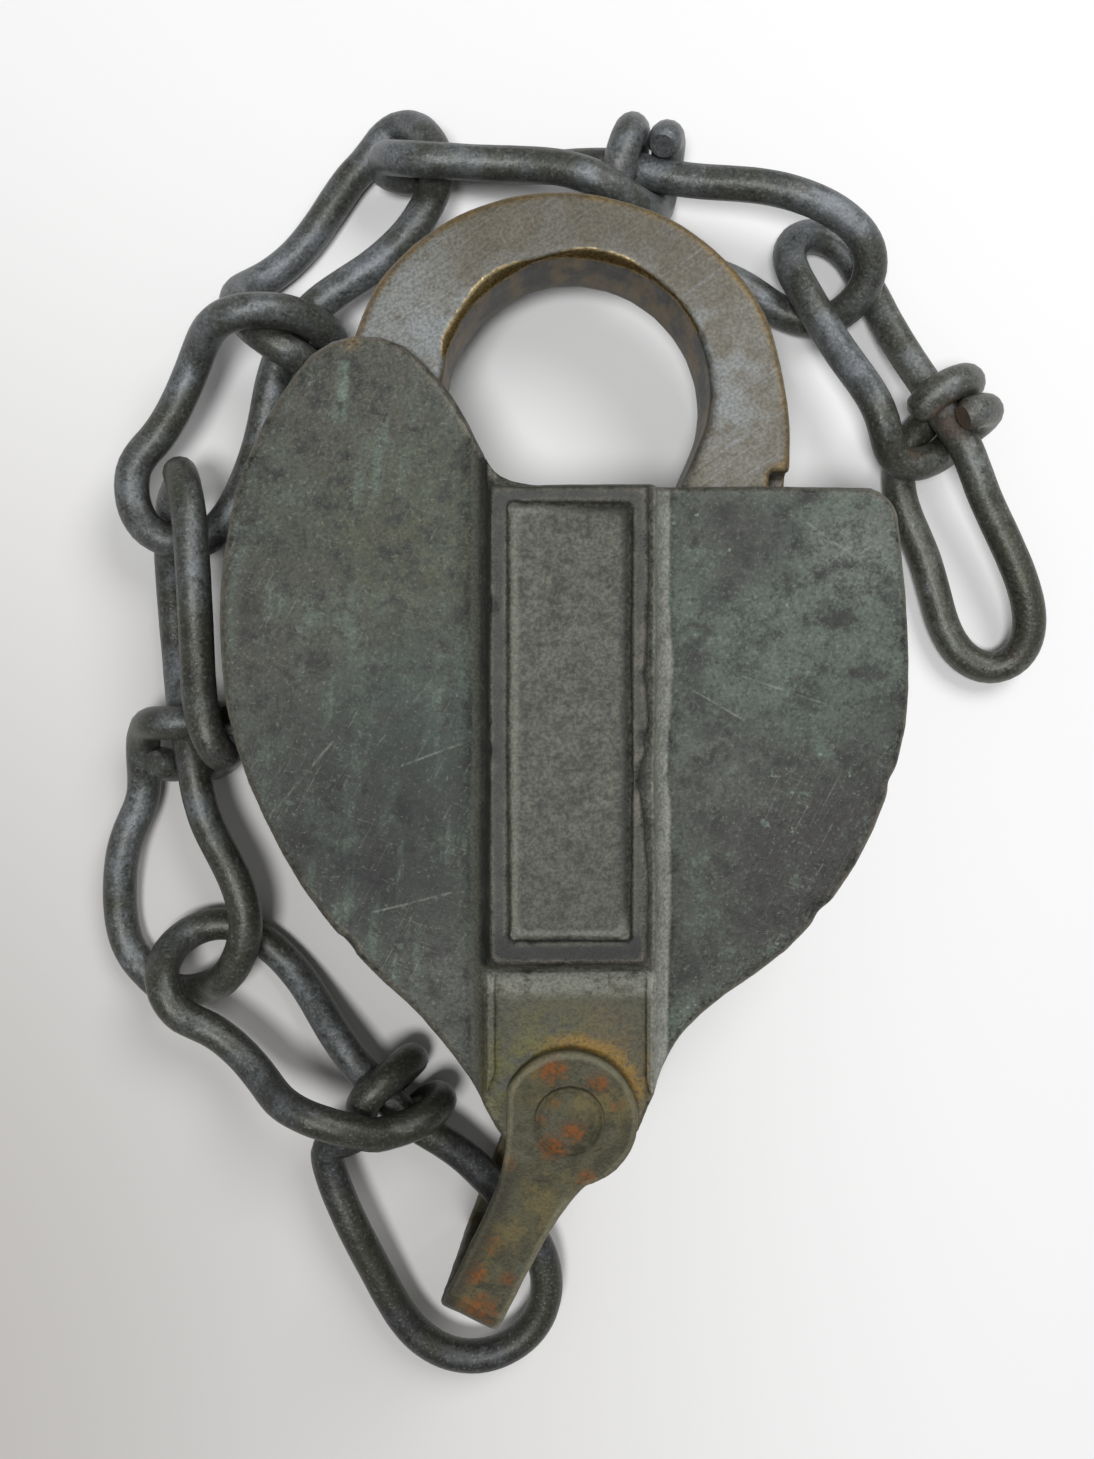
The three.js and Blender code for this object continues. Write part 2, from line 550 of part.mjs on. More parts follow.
// Where each link lies: its knot, and the heading, slope, twist, size and sideways shift of its two
// loops. hand says on which side of a loop the strand runs that wraps, and tuck turns its winding.
const LINKS = [
  {
    knot: [-22.2, -41.2, 6.7],
    near: { heading: -61, pitch: -5, roll: 0, length: 35.9, width: 17.4, shift: 1.6, hand: -1, tuck: -15 },
    far: { heading: 140, pitch: -9.2, roll: 32, length: 26.9, width: 11.6, shift: 1.6, hand: 1, tuck: 0 },
  },
  {
    knot: [-41.6, -5.6, 7.8],
    near: { heading: -96, pitch: -9, roll: 21, length: 26.0, width: 16.8, shift: 0, hand: -1, tuck: -35 },
    far: { heading: 93, pitch: 0, roll: 114, length: 32.4, width: 11.4, shift: 1.6, hand: 1, tuck: 0 },
  },
  {
    knot: [-30.4, 42.4, 6.6],
    near: { heading: 243, pitch: 0, roll: -12, length: 26.4, width: 10.4, shift: 2.6, hand: -1, tuck: 35 },
    far: { heading: 55, pitch: -5.4, roll: -30, length: 25.6, width: 11.6, shift: 0.9, hand: 1, tuck: 0 },
  },
  {
    knot: [8.4, 60.6, 6.8],
    near: { heading: 177, pitch: 0, roll: 70, length: 28.0, width: 9.8, shift: 0.4, hand: 1, tuck: 20 },
    far: { heading: -28, pitch: -2.5, roll: 36, length: 28.3, width: 12.2, shift: -0.5, hand: -1, tuck: 0 },
  },
  {
    knot: [44.0, 31.8, 6.6],
    near: { heading: 116, pitch: -13, roll: 29, length: 28.4, width: 8.9, shift: 5.0, hand: 1, tuck: 0 },
    far: { heading: -72, pitch: -9, roll: 35, length: 27.7, width: 10.6, shift: 2.2, hand: -1, tuck: 0 },
  },
];
const LINK_STEPS = 100;
const LINK_SIDES = 8;
const NEIGHBOURS = 6;
const SETTLE_PASSES = 50;
const LINK_SLACK = 0.1;
const BOW_CROWN_R = 21.2;
const BOW_CLEAR = BOW_CROWN_R + GAP + WIRE / 2;

const PATINA = brass('patinated brass', '#3f4540', 0.6);
const WORN = brass('worn brass', '#77684a', 0.45);
const INNER = steel('inner steel', '#5b5a57', 0.5);
const RUSTY = steel('rusted steel', '#6f6650', 0.7);
const ZINC = steel('zinc coated wire', '#565b63', 0.55);

const lock = new THREE.Group();
lock.name = 'switch_padlock';

function add(parent, name, geometry, material) {
  const mesh = new THREE.Mesh(geometry, material);
  mesh.name = name;
  parent.add(mesh);
  return mesh;
}

add(lock, 'case', caseGeometry(), PATINA);
add(lock, 'cover_plate', coverGeometry(), PATINA);
COVER_PINS.forEach((pin, i) => {
  add(lock, `cover_pin_${i + 1}`, rod(pin.x, pin.y, COVER_PIN_R, COVER_WING_Z + 0.1, 15, 16), PATINA);
});
add(lock, 'shackle', shackleGeometry(), WORN);
add(lock, 'shackle_pin', rod(PIN.x, PIN.y, PIN.r, COVER_WING_Z + 0.1, WING_Z - 1.4), WORN);
add(lock, 'locking_bolt', boltGeometry(), INNER);
add(lock, 'bolt_spring', boltSpringGeometry(), INNER);
LEVER_Z.forEach((z, i) => {
  add(lock, `lever_${i + 1}`, leverGeometry(z), INNER);
  add(lock, `lever_spring_${i + 1}`, leverSpringGeometry(z), INNER);
});
const leverPost = rod(LEVER_PIVOT.x, LEVER_PIVOT.y, LEVER_PIVOT.r, COVER_TOP_Z + GAP, ROOF_UNDER_Z - GAP);
add(lock, 'lever_post', leverPost, INNER);
add(lock, 'key_post', rod(KEY.x, KEY.y, KEY.post, COVER_SPINE_Z + 0.6, ROOF_UNDER_Z - GAP, 16), INNER);
add(lock, 'drop_cover', dropCoverGeometry(), PATINA);
add(lock, 'drop_cover_rivet', rod(DROP_PIVOT.x, DROP_PIVOT.y, 1.5, 0.1, COVER_TOP_Z - 0.2, 16), PATINA);

const hanger = new THREE.Group();
hanger.position.set(EYE.x, EYE.y, 0);
lock.add(hanger);
const strap = add(hanger, 'chain_clevis', clevisGeometry(), RUSTY);
strap.rotation.z = STRAP_TURN * DEG;
add(hanger, 'clevis_rivet', clevisRivetGeometry(), RUSTY);

settle(LINKS.map(linkRoute)).forEach((line, i) => {
  add(lock, `chain_link_${i + 1}`, wireGeometry(line, WIRE / 2, LINK_STEPS, LINK_SIDES), ZINC);
});

export default lock;
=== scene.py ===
# %% [markdown]
# # A heart-shaped brass switch padlock on its chain
#
# The lock is a sand-cast brass box shaped like a heart. Its bow swings on a pin at the left lobe, a raised
# rim frames a sunk field on the spine, and a rusty steel clevis at the tip holds a chain of knotted wire
# links. It lies flat and is seen from almost straight above, at close range, so the perspective is strong.
#
# The exact shapes come from the CAD frame. This script gives them what a drawing leaves out: the soft
# waviness of a casting, worn edges, dents, patina, dust, rust and the bloom of old zinc.

# %% Load the frame
import math

import bpy
import bmesh
import numpy as np
from mathutils import Matrix, Vector, noise


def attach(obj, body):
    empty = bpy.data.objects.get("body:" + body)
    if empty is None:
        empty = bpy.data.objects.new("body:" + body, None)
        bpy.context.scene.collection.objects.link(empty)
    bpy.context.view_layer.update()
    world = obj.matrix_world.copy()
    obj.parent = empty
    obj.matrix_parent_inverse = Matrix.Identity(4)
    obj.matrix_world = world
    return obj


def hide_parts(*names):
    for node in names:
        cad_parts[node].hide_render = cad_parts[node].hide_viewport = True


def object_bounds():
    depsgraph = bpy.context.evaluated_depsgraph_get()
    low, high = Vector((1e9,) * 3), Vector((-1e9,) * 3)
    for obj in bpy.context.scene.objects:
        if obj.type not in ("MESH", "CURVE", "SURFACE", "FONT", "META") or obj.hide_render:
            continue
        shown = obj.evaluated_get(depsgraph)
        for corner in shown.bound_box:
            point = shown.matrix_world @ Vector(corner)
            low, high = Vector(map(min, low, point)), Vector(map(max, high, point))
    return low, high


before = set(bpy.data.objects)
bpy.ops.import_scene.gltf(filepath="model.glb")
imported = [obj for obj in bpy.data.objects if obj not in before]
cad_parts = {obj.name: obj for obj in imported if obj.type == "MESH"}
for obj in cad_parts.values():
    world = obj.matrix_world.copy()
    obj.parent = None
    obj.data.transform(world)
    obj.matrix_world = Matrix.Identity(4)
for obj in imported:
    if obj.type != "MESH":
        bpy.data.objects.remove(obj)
CAD_BOX = [list(corner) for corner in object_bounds()]
MM = 0.001

print("size in mm:", [round((b - a) / MM, 1) for a, b in zip(*CAD_BOX)])

# %% [markdown]
# ## Camera
#
# A close view from almost straight above: the eye is only 164 mm over the table, so the top of the lock
# looks larger than the surface it lies on. The eye's place, the way it looks and its upward axis are
# stated, and the lens follows from the focal length in pixels and the frame's height.

# %% Camera
IMAGE_HEIGHT_PX = 1459
FOCAL_PX = 1400
SENSOR_HEIGHT = 36.0
EYE = Vector((-5.569, 3.038, 164.224)) * MM
LOOK = Vector((0.022833, -0.028203, -0.999341))
VIEW_UP = Vector((0.000644, 0.999602, -0.028196))


def add_camera():
    data = bpy.data.cameras.new("camera")
    data.sensor_fit = "VERTICAL"
    data.sensor_height = SENSOR_HEIGHT
    data.lens = SENSOR_HEIGHT * FOCAL_PX / IMAGE_HEIGHT_PX
    data.clip_start = 10 * MM
    camera = bpy.data.objects.new("camera", data)
    bpy.context.scene.collection.objects.link(camera)
    right = LOOK.cross(VIEW_UP).normalized()
    turn = Matrix((right, VIEW_UP, -LOOK)).transposed()
    camera.matrix_world = Matrix.Translation(EYE) @ turn.to_4x4()
    bpy.context.scene.camera = camera
    return camera


camera = add_camera()
print("lens in mm:", round(camera.data.lens, 2))

# %% [markdown]
# ## Shader maths
#
# A material is easier to read as sums and masks than as dozens of node calls. `Value` wraps one socket
# and turns +, -, * and / into Math nodes. Its `smooth` makes a mask: noise runs from about 0.3 to 0.7, so
# smooth(0.36, 0.6) is 0 in the noise's valleys and 1 on its hills, and smooth(0.6, 0.36) is the reverse.


# %% Values in sums
class Value:
    """One output socket that can be used in Python sums."""

    def __init__(self, shader, socket):
        self.shader = shader
        self.socket = socket

    def math(self, operation, *others):
        return self.shader.node("Math", self, *others, operation=operation)

    def __add__(self, other):
        return self.math("ADD", other)

    def __radd__(self, other):
        return self.math("ADD", other)

    def __sub__(self, other):
        return self.math("SUBTRACT", other)

    def __rsub__(self, other):
        return self.shader.node("Math", other, self, operation="SUBTRACT")

    def __mul__(self, other):
        return self.math("MULTIPLY", other)

    def __rmul__(self, other):
        return self.math("MULTIPLY", other)

    def __truediv__(self, other):
        return self.math("DIVIDE", other)

    def smooth(self, low, high):
        """0 below low, 1 above high, and a soft step between; high below low turns it round."""
        if low > high:
            return 1 - self.smooth(high, low)
        return self.shader.node("MapRange", self, low, high, 0.0, 1.0, interpolation_type="SMOOTHSTEP")

    def band(self, low, high, soft):
        """1 between low and high, with soft borders."""
        return self.smooth(low - soft, low + soft) * self.smooth(high + soft, high - soft)


print("values can be added, multiplied and turned into masks")

# %% [markdown]
# `Shader` holds one material. It makes every node with one method: settings first, then the values or
# links of its sockets. Its other methods are the patterns that several finishes of the lock share: noise,
# fine lines, a spot round a point, a ring round an upright axis, and specks.

# %% Patterns
LINE_LAYERS = 500  # how often a pattern of lines changes per metre of height
SPECKLE = (0.36, 0.64)


class Shader:
    """One material and the nodes in it."""

    def __init__(self, name):
        self.material = bpy.data.materials.new(name)
        self.material.use_nodes = True
        self.tree = self.material.node_tree
        self.surface = self.tree.nodes["Principled BSDF"]
        self.place = self.node("TexCoord", output="Object")

    def node(self, kind, *values, output=None, **settings):
        made = self.tree.nodes.new("ShaderNode" + kind)
        for key, value in settings.items():
            setattr(made, key, value)
        sockets = [s for s in made.inputs if s.enabled]
        for value, socket in zip(values, sockets):
            self.connect(value, socket)
        outputs = [s for s in made.outputs if s.enabled]
        return Value(self, made.outputs[output] if output else outputs[0])

    def connect(self, value, socket):
        if isinstance(value, Value):
            self.tree.links.new(value.socket, socket)
        elif value is not None:
            socket.default_value = value

    def noise(self, scale, detail=4.0, roughness=0.55, distortion=0.0, stretch=None):
        """Soft noise with blobs of about 1/scale, from 0 to 1 round 0.5."""
        place = self.place
        if stretch:
            place = self.node("VectorMath", place, stretch, operation="MULTIPLY")
        made = self.node("TexNoise", place, scale, detail, roughness, normalize=True)
        made.socket.node.inputs["Distortion"].default_value = distortion
        return made

    def axis(self, name):
        return self.node("SeparateXYZ", self.place, output=name)

    def stored(self, name):
        """A number that the mesh keeps on each point."""
        return self.node("Attribute", attribute_name=name, output="Fac")

    def along(self, direction):
        """How far each point lies along a direction."""
        return self.node("VectorMath", self.place, direction, operation="DOT_PRODUCT", output="Value")

    def mix(self, low, high, amount, blend="MIX"):
        """Blend two colours by a mask."""
        made = self.tree.nodes.new("ShaderNodeMix")
        made.data_type = "RGBA"
        made.blend_type = blend
        made.clamp_factor = True
        color = [s for s in made.inputs if s.type == "RGBA"]
        self.connect(amount, made.inputs["Factor"])
        self.connect(low if isinstance(low, Value) else (*low, 1.0), color[0])
        self.connect(high if isinstance(high, Value) else (*high, 1.0), color[1])
        return Value(self, [s for s in made.outputs if s.type == "RGBA"][0])

    def speckled(self, color, grain, depth, limits=SPECKLE):
        """The colour with each grain a little darker or lighter."""
        shade = self.mix((1 - depth,) * 3, (1 + depth,) * 3, grain.smooth(*limits))
        return self.mix(color, shade, 1.0, "MULTIPLY")

    def lines(self, degrees, length, width):
        """Noise drawn out along one direction of the plan; length and width in millimetres."""
        turn = math.radians(degrees)
        lengthwise = Vector((math.cos(turn), math.sin(turn), 0.0)) / (length * MM)
        across = Vector((-math.sin(turn), math.cos(turn), 0.0)) / (width * MM)
        shares = [self.along(tuple(direction)) for direction in (lengthwise, across)]
        place = self.node("CombineXYZ", *shares, self.axis("Z") * LINE_LAYERS)
        return self.node("TexNoise", place, 1.0, 3.0, 0.6)

    def near(self, centre, reach):
        """1 at a point of the object, falling to 0 at the reach; both in millimetres."""
        centre = tuple(part * MM for part in centre)
        away = self.node("VectorMath", self.place, centre, operation="DISTANCE", output="Value")
        return away.smooth(reach * MM, 0.0)

    def near_axis(self, centre, reach, full):
        """1 within a distance of an upright axis, falling to 0 at the reach; all in millimetres."""
        flat = self.node("VectorMath", self.place, (1.0, 1.0, 0.0), operation="MULTIPLY")
        foot = (centre[0] * MM, centre[1] * MM, 0.0)
        away = self.node("VectorMath", flat, foot, operation="DISTANCE", output="Value")
        return away.smooth(reach * MM, full * MM)

    def bump(self, height, depth):
        made = self.node("Bump")
        node = made.socket.node
        node.inputs["Strength"].default_value = 1.0
        node.inputs["Distance"].default_value = depth
        self.connect(height, node.inputs["Height"])
        return made

    def finish(self, color, roughness, metallic, normal=None):
        sockets = {"Base Color": color, "Roughness": roughness, "Metallic": metallic, "Normal": normal}
        for name, value in sockets.items():
            self.connect(value, self.surface.inputs[name])
        return self.material


def srgb(red, green, blue):
    """A colour as a paint chart gives it, 0 to 255, in the linear light that shaders use."""
    parts = (value / 255 for value in (red, green, blue))
    return tuple(p / 12.92 if p <= 0.04045 else ((p + 0.055) / 1.055) ** 2.4 for p in parts)


print("mid grey in linear light:", round(srgb(128, 128, 128)[0], 3))

# %% [markdown]
# ## Floor, backdrop and studio light
#
# The lock lies on a plain white board. A soft lamp stands close by to the upper right, because the shadows
# in the picture fall to the lower left. The board grows darker that way too, and the lamp alone can't do all
# of that, so a painted shade darkens the board's colour there. A lamp at the ceiling lights the board inside
# the bow, and a white sky fills the rest.

# %% Stage and lights
FLOOR_SIZE = 3.0
FLOOR_COLOR = srgb(243, 243, 243)
FLOOR_SHADE = srgb(187, 184, 181)
# centre of the painted shade's darker corner, where it ends and how far it is full, in millimetres
SHADE_CENTRE, SHADE_REACH, SHADE_FULL = (-118, -80), 180, 30
# name, place and width in metres, watts
LAMPS = (
    ("window", (0.22, 0.27, 0.46), 0.3, 1.45),
    ("ceiling", (-0.09, -0.1, 0.74), 0.2, 3.0),
)
SKY_STRENGTH = 0.22


def add_floor():
    bpy.ops.mesh.primitive_plane_add(size=FLOOR_SIZE, location=(0, 0, 0))
    floor = bpy.context.object
    floor.name = "floor"
    board = Shader("white board")
    # painted shade: the board's colour is darker towards the lower left
    corner = board.near_axis(SHADE_CENTRE, SHADE_REACH, SHADE_FULL)
    board.finish(board.mix(FLOOR_COLOR, FLOOR_SHADE, corner), 0.7, 0.0)
    floor.data.materials.append(board.material)


def add_lamp(name, place, size, watts):
    data = bpy.data.lights.new(name, "AREA")
    data.shape = "DISK"
    data.size = size
    data.energy = watts
    lamp = bpy.data.objects.new(name, data)
    bpy.context.scene.collection.objects.link(lamp)
    aim = (-Vector(place)).to_track_quat("-Z", "Y")
    lamp.matrix_world = Matrix.Translation(place) @ aim.to_matrix().to_4x4()


def add_sky(strength):
    world = bpy.data.worlds.new("studio")
    bpy.context.scene.world = world
    world.use_nodes = True
    background = world.node_tree.nodes["Background"]
    background.inputs["Color"].default_value = (1.0, 1.0, 1.0, 1.0)
    background.inputs["Strength"].default_value = strength


add_floor()
for lamp in LAMPS:
    add_lamp(*lamp)
add_sky(SKY_STRENGTH)
bpy.context.scene.view_settings.view_transform = "Standard"
print("lamps:", ", ".join(lamp[0] for lamp in LAMPS))

# %% [markdown]
# ## Turning a drawn solid into a casting
#
# A CAD solid has dead flat faces and knife edges. Each main piece is copied, welded and remeshed into
# even small squares, which rounds every edge a little, as casting and years in a pocket do. Squares that
# nobody can see, such as those inside the case, may be merged again.

# %% Copying and remeshing
WELD = 1e-6


def welded_copy(node, name):
    """The CAD node's skin as a mesh of its own, with its loose triangles joined."""
    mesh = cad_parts[node].data.copy()
    skin = bmesh.new()
    skin.from_mesh(mesh)
    bmesh.ops.remove_doubles(skin, verts=skin.verts, dist=WELD)
    bare = bpy.data.meshes.new(name)
    skin.to_mesh(bare)
    skin.free()
    if "custom_normal" in bare.attributes:
        bare.attributes.remove(bare.attributes["custom_normal"])
    piece = bpy.data.objects.new(name, bare)
    bpy.context.scene.collection.objects.link(piece)
    return piece


def applied(piece):
    """The piece with its modifiers made part of its mesh."""
    bpy.context.view_layer.update()
    graph = bpy.context.evaluated_depsgraph_get()
    mesh = bpy.data.meshes.new_from_object(piece.evaluated_get(graph))
    piece.modifiers.clear()
    piece.data = mesh
    return piece


def even_squares(piece, size):
    """Cover the piece with a closed skin of small squares."""
    remesh = piece.modifiers.new("even squares", "REMESH")
    remesh.mode = "VOXEL"
    remesh.voxel_size = size
    remesh.use_smooth_shade = True
    return applied(piece)


def thin_out(piece, hidden, ratio):
    """Merge the faces whose points nobody can see."""
    group = piece.vertex_groups.new(name="hidden")
    group.add(np.flatnonzero(hidden).tolist(), 1.0, "REPLACE")
    thin = piece.modifiers.new("thin out", "DECIMATE")
    thin.ratio = ratio
    thin.vertex_group = group.name
    applied(piece)
    piece.vertex_groups.clear()


print("copies weld points closer than", WELD / MM, "mm")

# %% [markdown]
# Then the points are moved: slow noise makes the surface wavy, and named dents take bites out of it. A
# mesh of 100,000 points is slow to walk through in Python, so its points, normals and edges are taken out
# as arrays, and each step is one sum on the whole array.

# %% Waves and dents
DENT_EDGE = 3  # how quickly a dent gets shallow towards its reach
SEED_STEPS = (7.31, 3.17, 5.53)


def points_of(mesh):
    place = np.empty(len(mesh.vertices) * 3)
    mesh.vertices.foreach_get("co", place)
    return place.reshape(-1, 3)


def normals_of(mesh):
    direction = np.empty(len(mesh.vertices) * 3)
    mesh.vertex_normals.foreach_get("vector", direction)
    return direction.reshape(-1, 3)


def edges_of(mesh):
    ends = np.empty(len(mesh.edges) * 2, dtype=np.int64)
    mesh.edges.foreach_get("vertices", ends)
    return ends.reshape(-1, 2)


def set_points(mesh, points):
    mesh.vertices.foreach_set("co", points.ravel())
    mesh.update()


def noise_at(points, size, seed):
    """Soft noise from -1 to 1 whose blobs are about `size` metres."""
    shift = Vector([seed * step for step in SEED_STEPS])
    return np.array([noise.noise(Vector(p) / size + shift) for p in points])


def make_wavy(piece, waves, seed=0):
    """Move the points along their normals; waves are pairs of blob size and height."""
    points, out = points_of(piece.data), normals_of(piece.data)
    push = sum(height * noise_at(points, size, seed + i) for i, (size, height) in enumerate(waves))
    set_points(piece.data, points + out * push[:, None])


def dent(piece, places):
    """Press round hollows into the skin; each place is a centre, a reach and a depth."""
    points, out = points_of(piece.data), normals_of(piece.data)
    for centre, reach, depth in places:
        away = np.linalg.norm(points - np.array(centre), axis=1) / reach
        points = points - out * (depth * np.exp(-DENT_EDGE * away**2))[:, None]
    set_points(piece.data, points)


print("waves and dents are ready")

# %% [markdown]
# Last, two numbers are stored on every point for the materials: how much it stands out (`proud`) and how
# much it sits in a hollow (`hollow`). Metal is rubbed bright where it is proud, and dirt stays in the
# hollows; on the case the same numbers also place a painted highlight on the edges and painted light and
# shade in the frame's hollows. A finished piece is kept inside the CAD's box, and the frame hears what it
# rides on.


# %% Relief and place
def averaged(values, ends, passes):
    """Each point's value mixed with its neighbours', over and over."""
    for _ in range(passes):
        total = values.copy()
        count = np.ones(len(values))
        for a, b in ((0, 1), (1, 0)):
            np.add.at(total, ends[:, a], values[ends[:, b]])
            np.add.at(count, ends[:, a], 1.0)
        values = total / (count[:, None] if values.ndim == 2 else count)
    return values


def store(mesh, name, values):
    attribute = mesh.attributes.new(name, "FLOAT", "POINT")
    attribute.data.foreach_set("value", np.clip(values, 0, 1).astype(np.float32))


def measure_relief(piece, passes, full):
    """Store proud and hollow: the distance to the same skin with its detail averaged away."""
    points, out, ends = points_of(piece.data), normals_of(piece.data), edges_of(piece.data)
    height = ((points - averaged(points, ends, passes)) * out).sum(axis=1)
    height = averaged(height, ends, 1)
    store(piece.data, "proud", height / full)
    store(piece.data, "hollow", -height / full)


def put_in_place(piece, material, body, slot, *nodes):
    """Give a finished piece its material, hang it on its body's empty and hide the CAD nodes that it stands
    for.
    """
    set_points(piece.data, np.clip(points_of(piece.data), *CAD_BOX))
    piece.data.materials.clear()
    piece.data.materials.append(material)
    piece.data.polygons.foreach_set("use_smooth", [True] * len(piece.data.polygons))
    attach(piece, body)
    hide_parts(*nodes)
    print(piece.name, "has", len(piece.data.polygons), "faces")


print("relief can be measured")

# %% [markdown]
# ## Cast brass under its patina
#
# Old brass is not one colour. The wings' ground is a dark grey-green oxide, browner on the lobe and more
# olive below it where hands held it, greener on the right wing with flecks of verdigris, and nearly black
# low on the right. Each of these is a soft patch with its own colour, broken up by noise. Streaks run down
# the left wing, pale hairlines and scratches cross both, and fine mottling, specks and pits lie over all.

# %% Wings
PATINA_GROUND = srgb(67, 71, 64)
PATINA_DEEP = srgb(34, 36, 33)
VERDIGRIS = srgb(112, 130, 119)
VEIN_GREEN = srgb(84, 97, 87)
SPECK = srgb(140, 141, 131)
# pits; the same dark colour is painted shade in the frame's hollows
PIT_AND_SHADE = srgb(44, 46, 42)
BARE_BRASS = srgb(138, 108, 66)
SCRATCH = srgb(126, 131, 122)

# centre and reach in millimetres, colour, strength
WING_PATCHES = (
    ((-22, 33, 22), 12, srgb(75, 74, 67), 0.9),
    ((-17, 19, 22), 15, srgb(72, 75, 58), 0.8),
    ((-32, 10, 22), 10, srgb(66, 65, 59), 0.8),
    ((-14, -1, 22), 12, srgb(60, 71, 65), 0.9),
    ((-21, -12, 22), 16, srgb(26, 28, 27), 1.0),
    ((-11, -26, 22), 8, srgb(74, 75, 71), 0.8),
    ((22, 9, 22), 19, srgb(84, 95, 87), 0.7),
    ((29, 17, 22), 7, srgb(100, 105, 99), 0.9),
    ((17, 18, 22), 7, srgb(60, 60, 57), 0.9),
    ((15, -6, 22), 9, srgb(82, 85, 79), 0.7),
    ((27, -15, 22), 17, srgb(52, 50, 49), 1.0),
)
# start, end and width in millimetres
SCRATCHES = (
    ((-24.0, -2.2, 22.5), (-29.9, -9.2, 22.5), 0.2),
    ((-14.0, 4.0, 22.5), (-19.5, -2.5, 22.5), 0.16),
    ((-10.5, -2.2, 22.5), (-17.0, -4.6, 22.5), 0.2),
    ((-12.0, -17.5, 22.5), (-20.0, -19.5, 22.5), 0.18),
    ((12.5, 3.0, 22.5), (18.5, -0.5, 22.5), 0.16),
    ((17.0, 4.6, 22.5), (26.0, 1.6, 22.5), 0.16),
    ((24.0, 20.0, 22.5), (29.0, 16.5, 22.5), 0.2),
)
LOBE_STREAK = (-22.8, 35.8, 22.5), (-23.2, 30.6, 22.5), 1.1
# centre and reach in millimetres
RUBBED_CORNER = (29, 16.5, 22.5), 7
BRASSY_SPOT = (-21.9, 38.2, 22), 1.8
# where the left wing's finish gives way to the right wing's
WING_CHANGE = 6 * MM, 14 * MM


def scratch_mask(shader, start, end, width):
    """A thin line between two points of the surface, broken up as a real scratch is."""
    start, end = Vector(start) * MM, Vector(end) * MM
    way = end - start
    offset = shader.node("VectorMath", shader.place, tuple(start), operation="SUBTRACT")
    per_length = tuple(way / way.length_squared)
    share = shader.node("VectorMath", offset, per_length, operation="DOT_PRODUCT", output="Value")
    share = shader.node("Clamp", share, 0.0, 1.0)
    foot = shader.node("VectorMath", tuple(way), operation="SCALE")
    shader.connect(share, foot.socket.node.inputs["Scale"])
    away = shader.node("VectorMath", offset, foot, operation="DISTANCE", output="Value")
    return away.smooth(width * MM, 0.2 * width * MM) * shader.noise(700).smooth(0.35, 0.62)


def wing_ground(shader, right_wing, clouds, mottle):
    """The oxide with its patches, the left wing's streaks and the right wing's marbling."""
    color = shader.mix(PATINA_DEEP, PATINA_GROUND, mottle.smooth(0.36, 0.54))
    for centre, reach, tint, strength in WING_PATCHES:
        mask = shader.near(centre, reach * 1.25) * mottle.smooth(0.36, 0.56) * strength
        color = shader.mix(color, tint, mask * 1.2)
    left_wing = 1 - right_wing
    runs = shader.lines(84, 9, 1.8)
    dark_runs = runs.smooth(0.5, 0.34) * mottle.smooth(0.6, 0.4)
    color = shader.mix(color, PATINA_DEEP, dark_runs * 0.6 * left_wing)
    green_runs = runs.smooth(0.48, 0.64) * clouds.smooth(0.42, 0.54) * mottle.smooth(0.42, 0.56)
    color = shader.mix(color, VEIN_GREEN, green_runs * 0.75 * left_wing)
    marble = shader.noise(210, 8.0, 0.8, distortion=0.15)
    color = shader.mix(color, PATINA_DEEP, marble.smooth(0.5, 0.4) * (0.1 + right_wing * 0.45))
    return shader.mix(color, VEIN_GREEN, marble.smooth(0.53, 0.62) * (0.25 + right_wing * 0.45))


def wing_color(shader, x, clouds, mottle, fine, grain):
    """The flat wings: the ground, then flecks, hairlines, specks, pits, scratches and bare spots."""
    right_wing = x.smooth(*WING_CHANGE)
    color = wing_ground(shader, right_wing, clouds, mottle)
    flecks = shader.noise(900, 2.0, 0.5).smooth(0.67, 0.73)
    color = shader.mix(color, VERDIGRIS, flecks * clouds.smooth(0.44, 0.56) * (0.25 + right_wing * 0.65))
    hairs = shader.lines(62, 4, 0.16).smooth(0.58, 0.7) + shader.lines(-20, 3, 0.16).smooth(0.6, 0.72)
    color = shader.mix(color, SPECK, hairs * clouds.smooth(0.4, 0.6) * 0.28)
    color = shader.mix(color, SPECK, grain.smooth(0.6, 0.72) * 0.3)
    color = shader.mix(color, PIT_AND_SHADE, fine.smooth(0.45, 0.35) * 0.55)
    color = shader.mix(color, VERDIGRIS, scratch_mask(shader, *LOBE_STREAK) * 0.6)
    for scratch in SCRATCHES:
        color = shader.mix(color, SCRATCH, scratch_mask(shader, *scratch) * 0.5)
    rubs = shader.lines(38, 5, 0.35).smooth(0.6, 0.72) * shader.near(*RUBBED_CORNER)
    color = shader.mix(color, SCRATCH, rubs * 0.6)
    return shader.mix(color, BARE_BRASS, shader.near(*BRASSY_SPOT) * fine.smooth(0.3, 0.6))


print("the wings have", len(WING_PATCHES), "patches and", len(SCRATCHES), "scratches")

# %% [markdown]
# The spine is different. Its rim is rubbed dark and smooth, and dust has settled in the field and in the
# fillets. The right fillet and a strip under the frame's foot are also made paler by painted light, and the
# frame's left outer edge is darkened by painted shade. The bare stretch below the frame is olive, with
# yellow and golden grime that has crept out from under the clevis's eye. All of these follow the casting's
# own steps, so their masks are made from the same heights and edges that the CAD has.

# %% Spine
# pale dust, which also serves as painted light on faces that the lamp reaches
DUST_AND_PAINTED_LIGHT = srgb(118, 119, 109)
RIM_DARK, RIM_LOW = srgb(50, 51, 48), srgb(28, 29, 28)
FIELD_LOW, FIELD_HIGH = srgb(46, 47, 40), srgb(92, 93, 84)
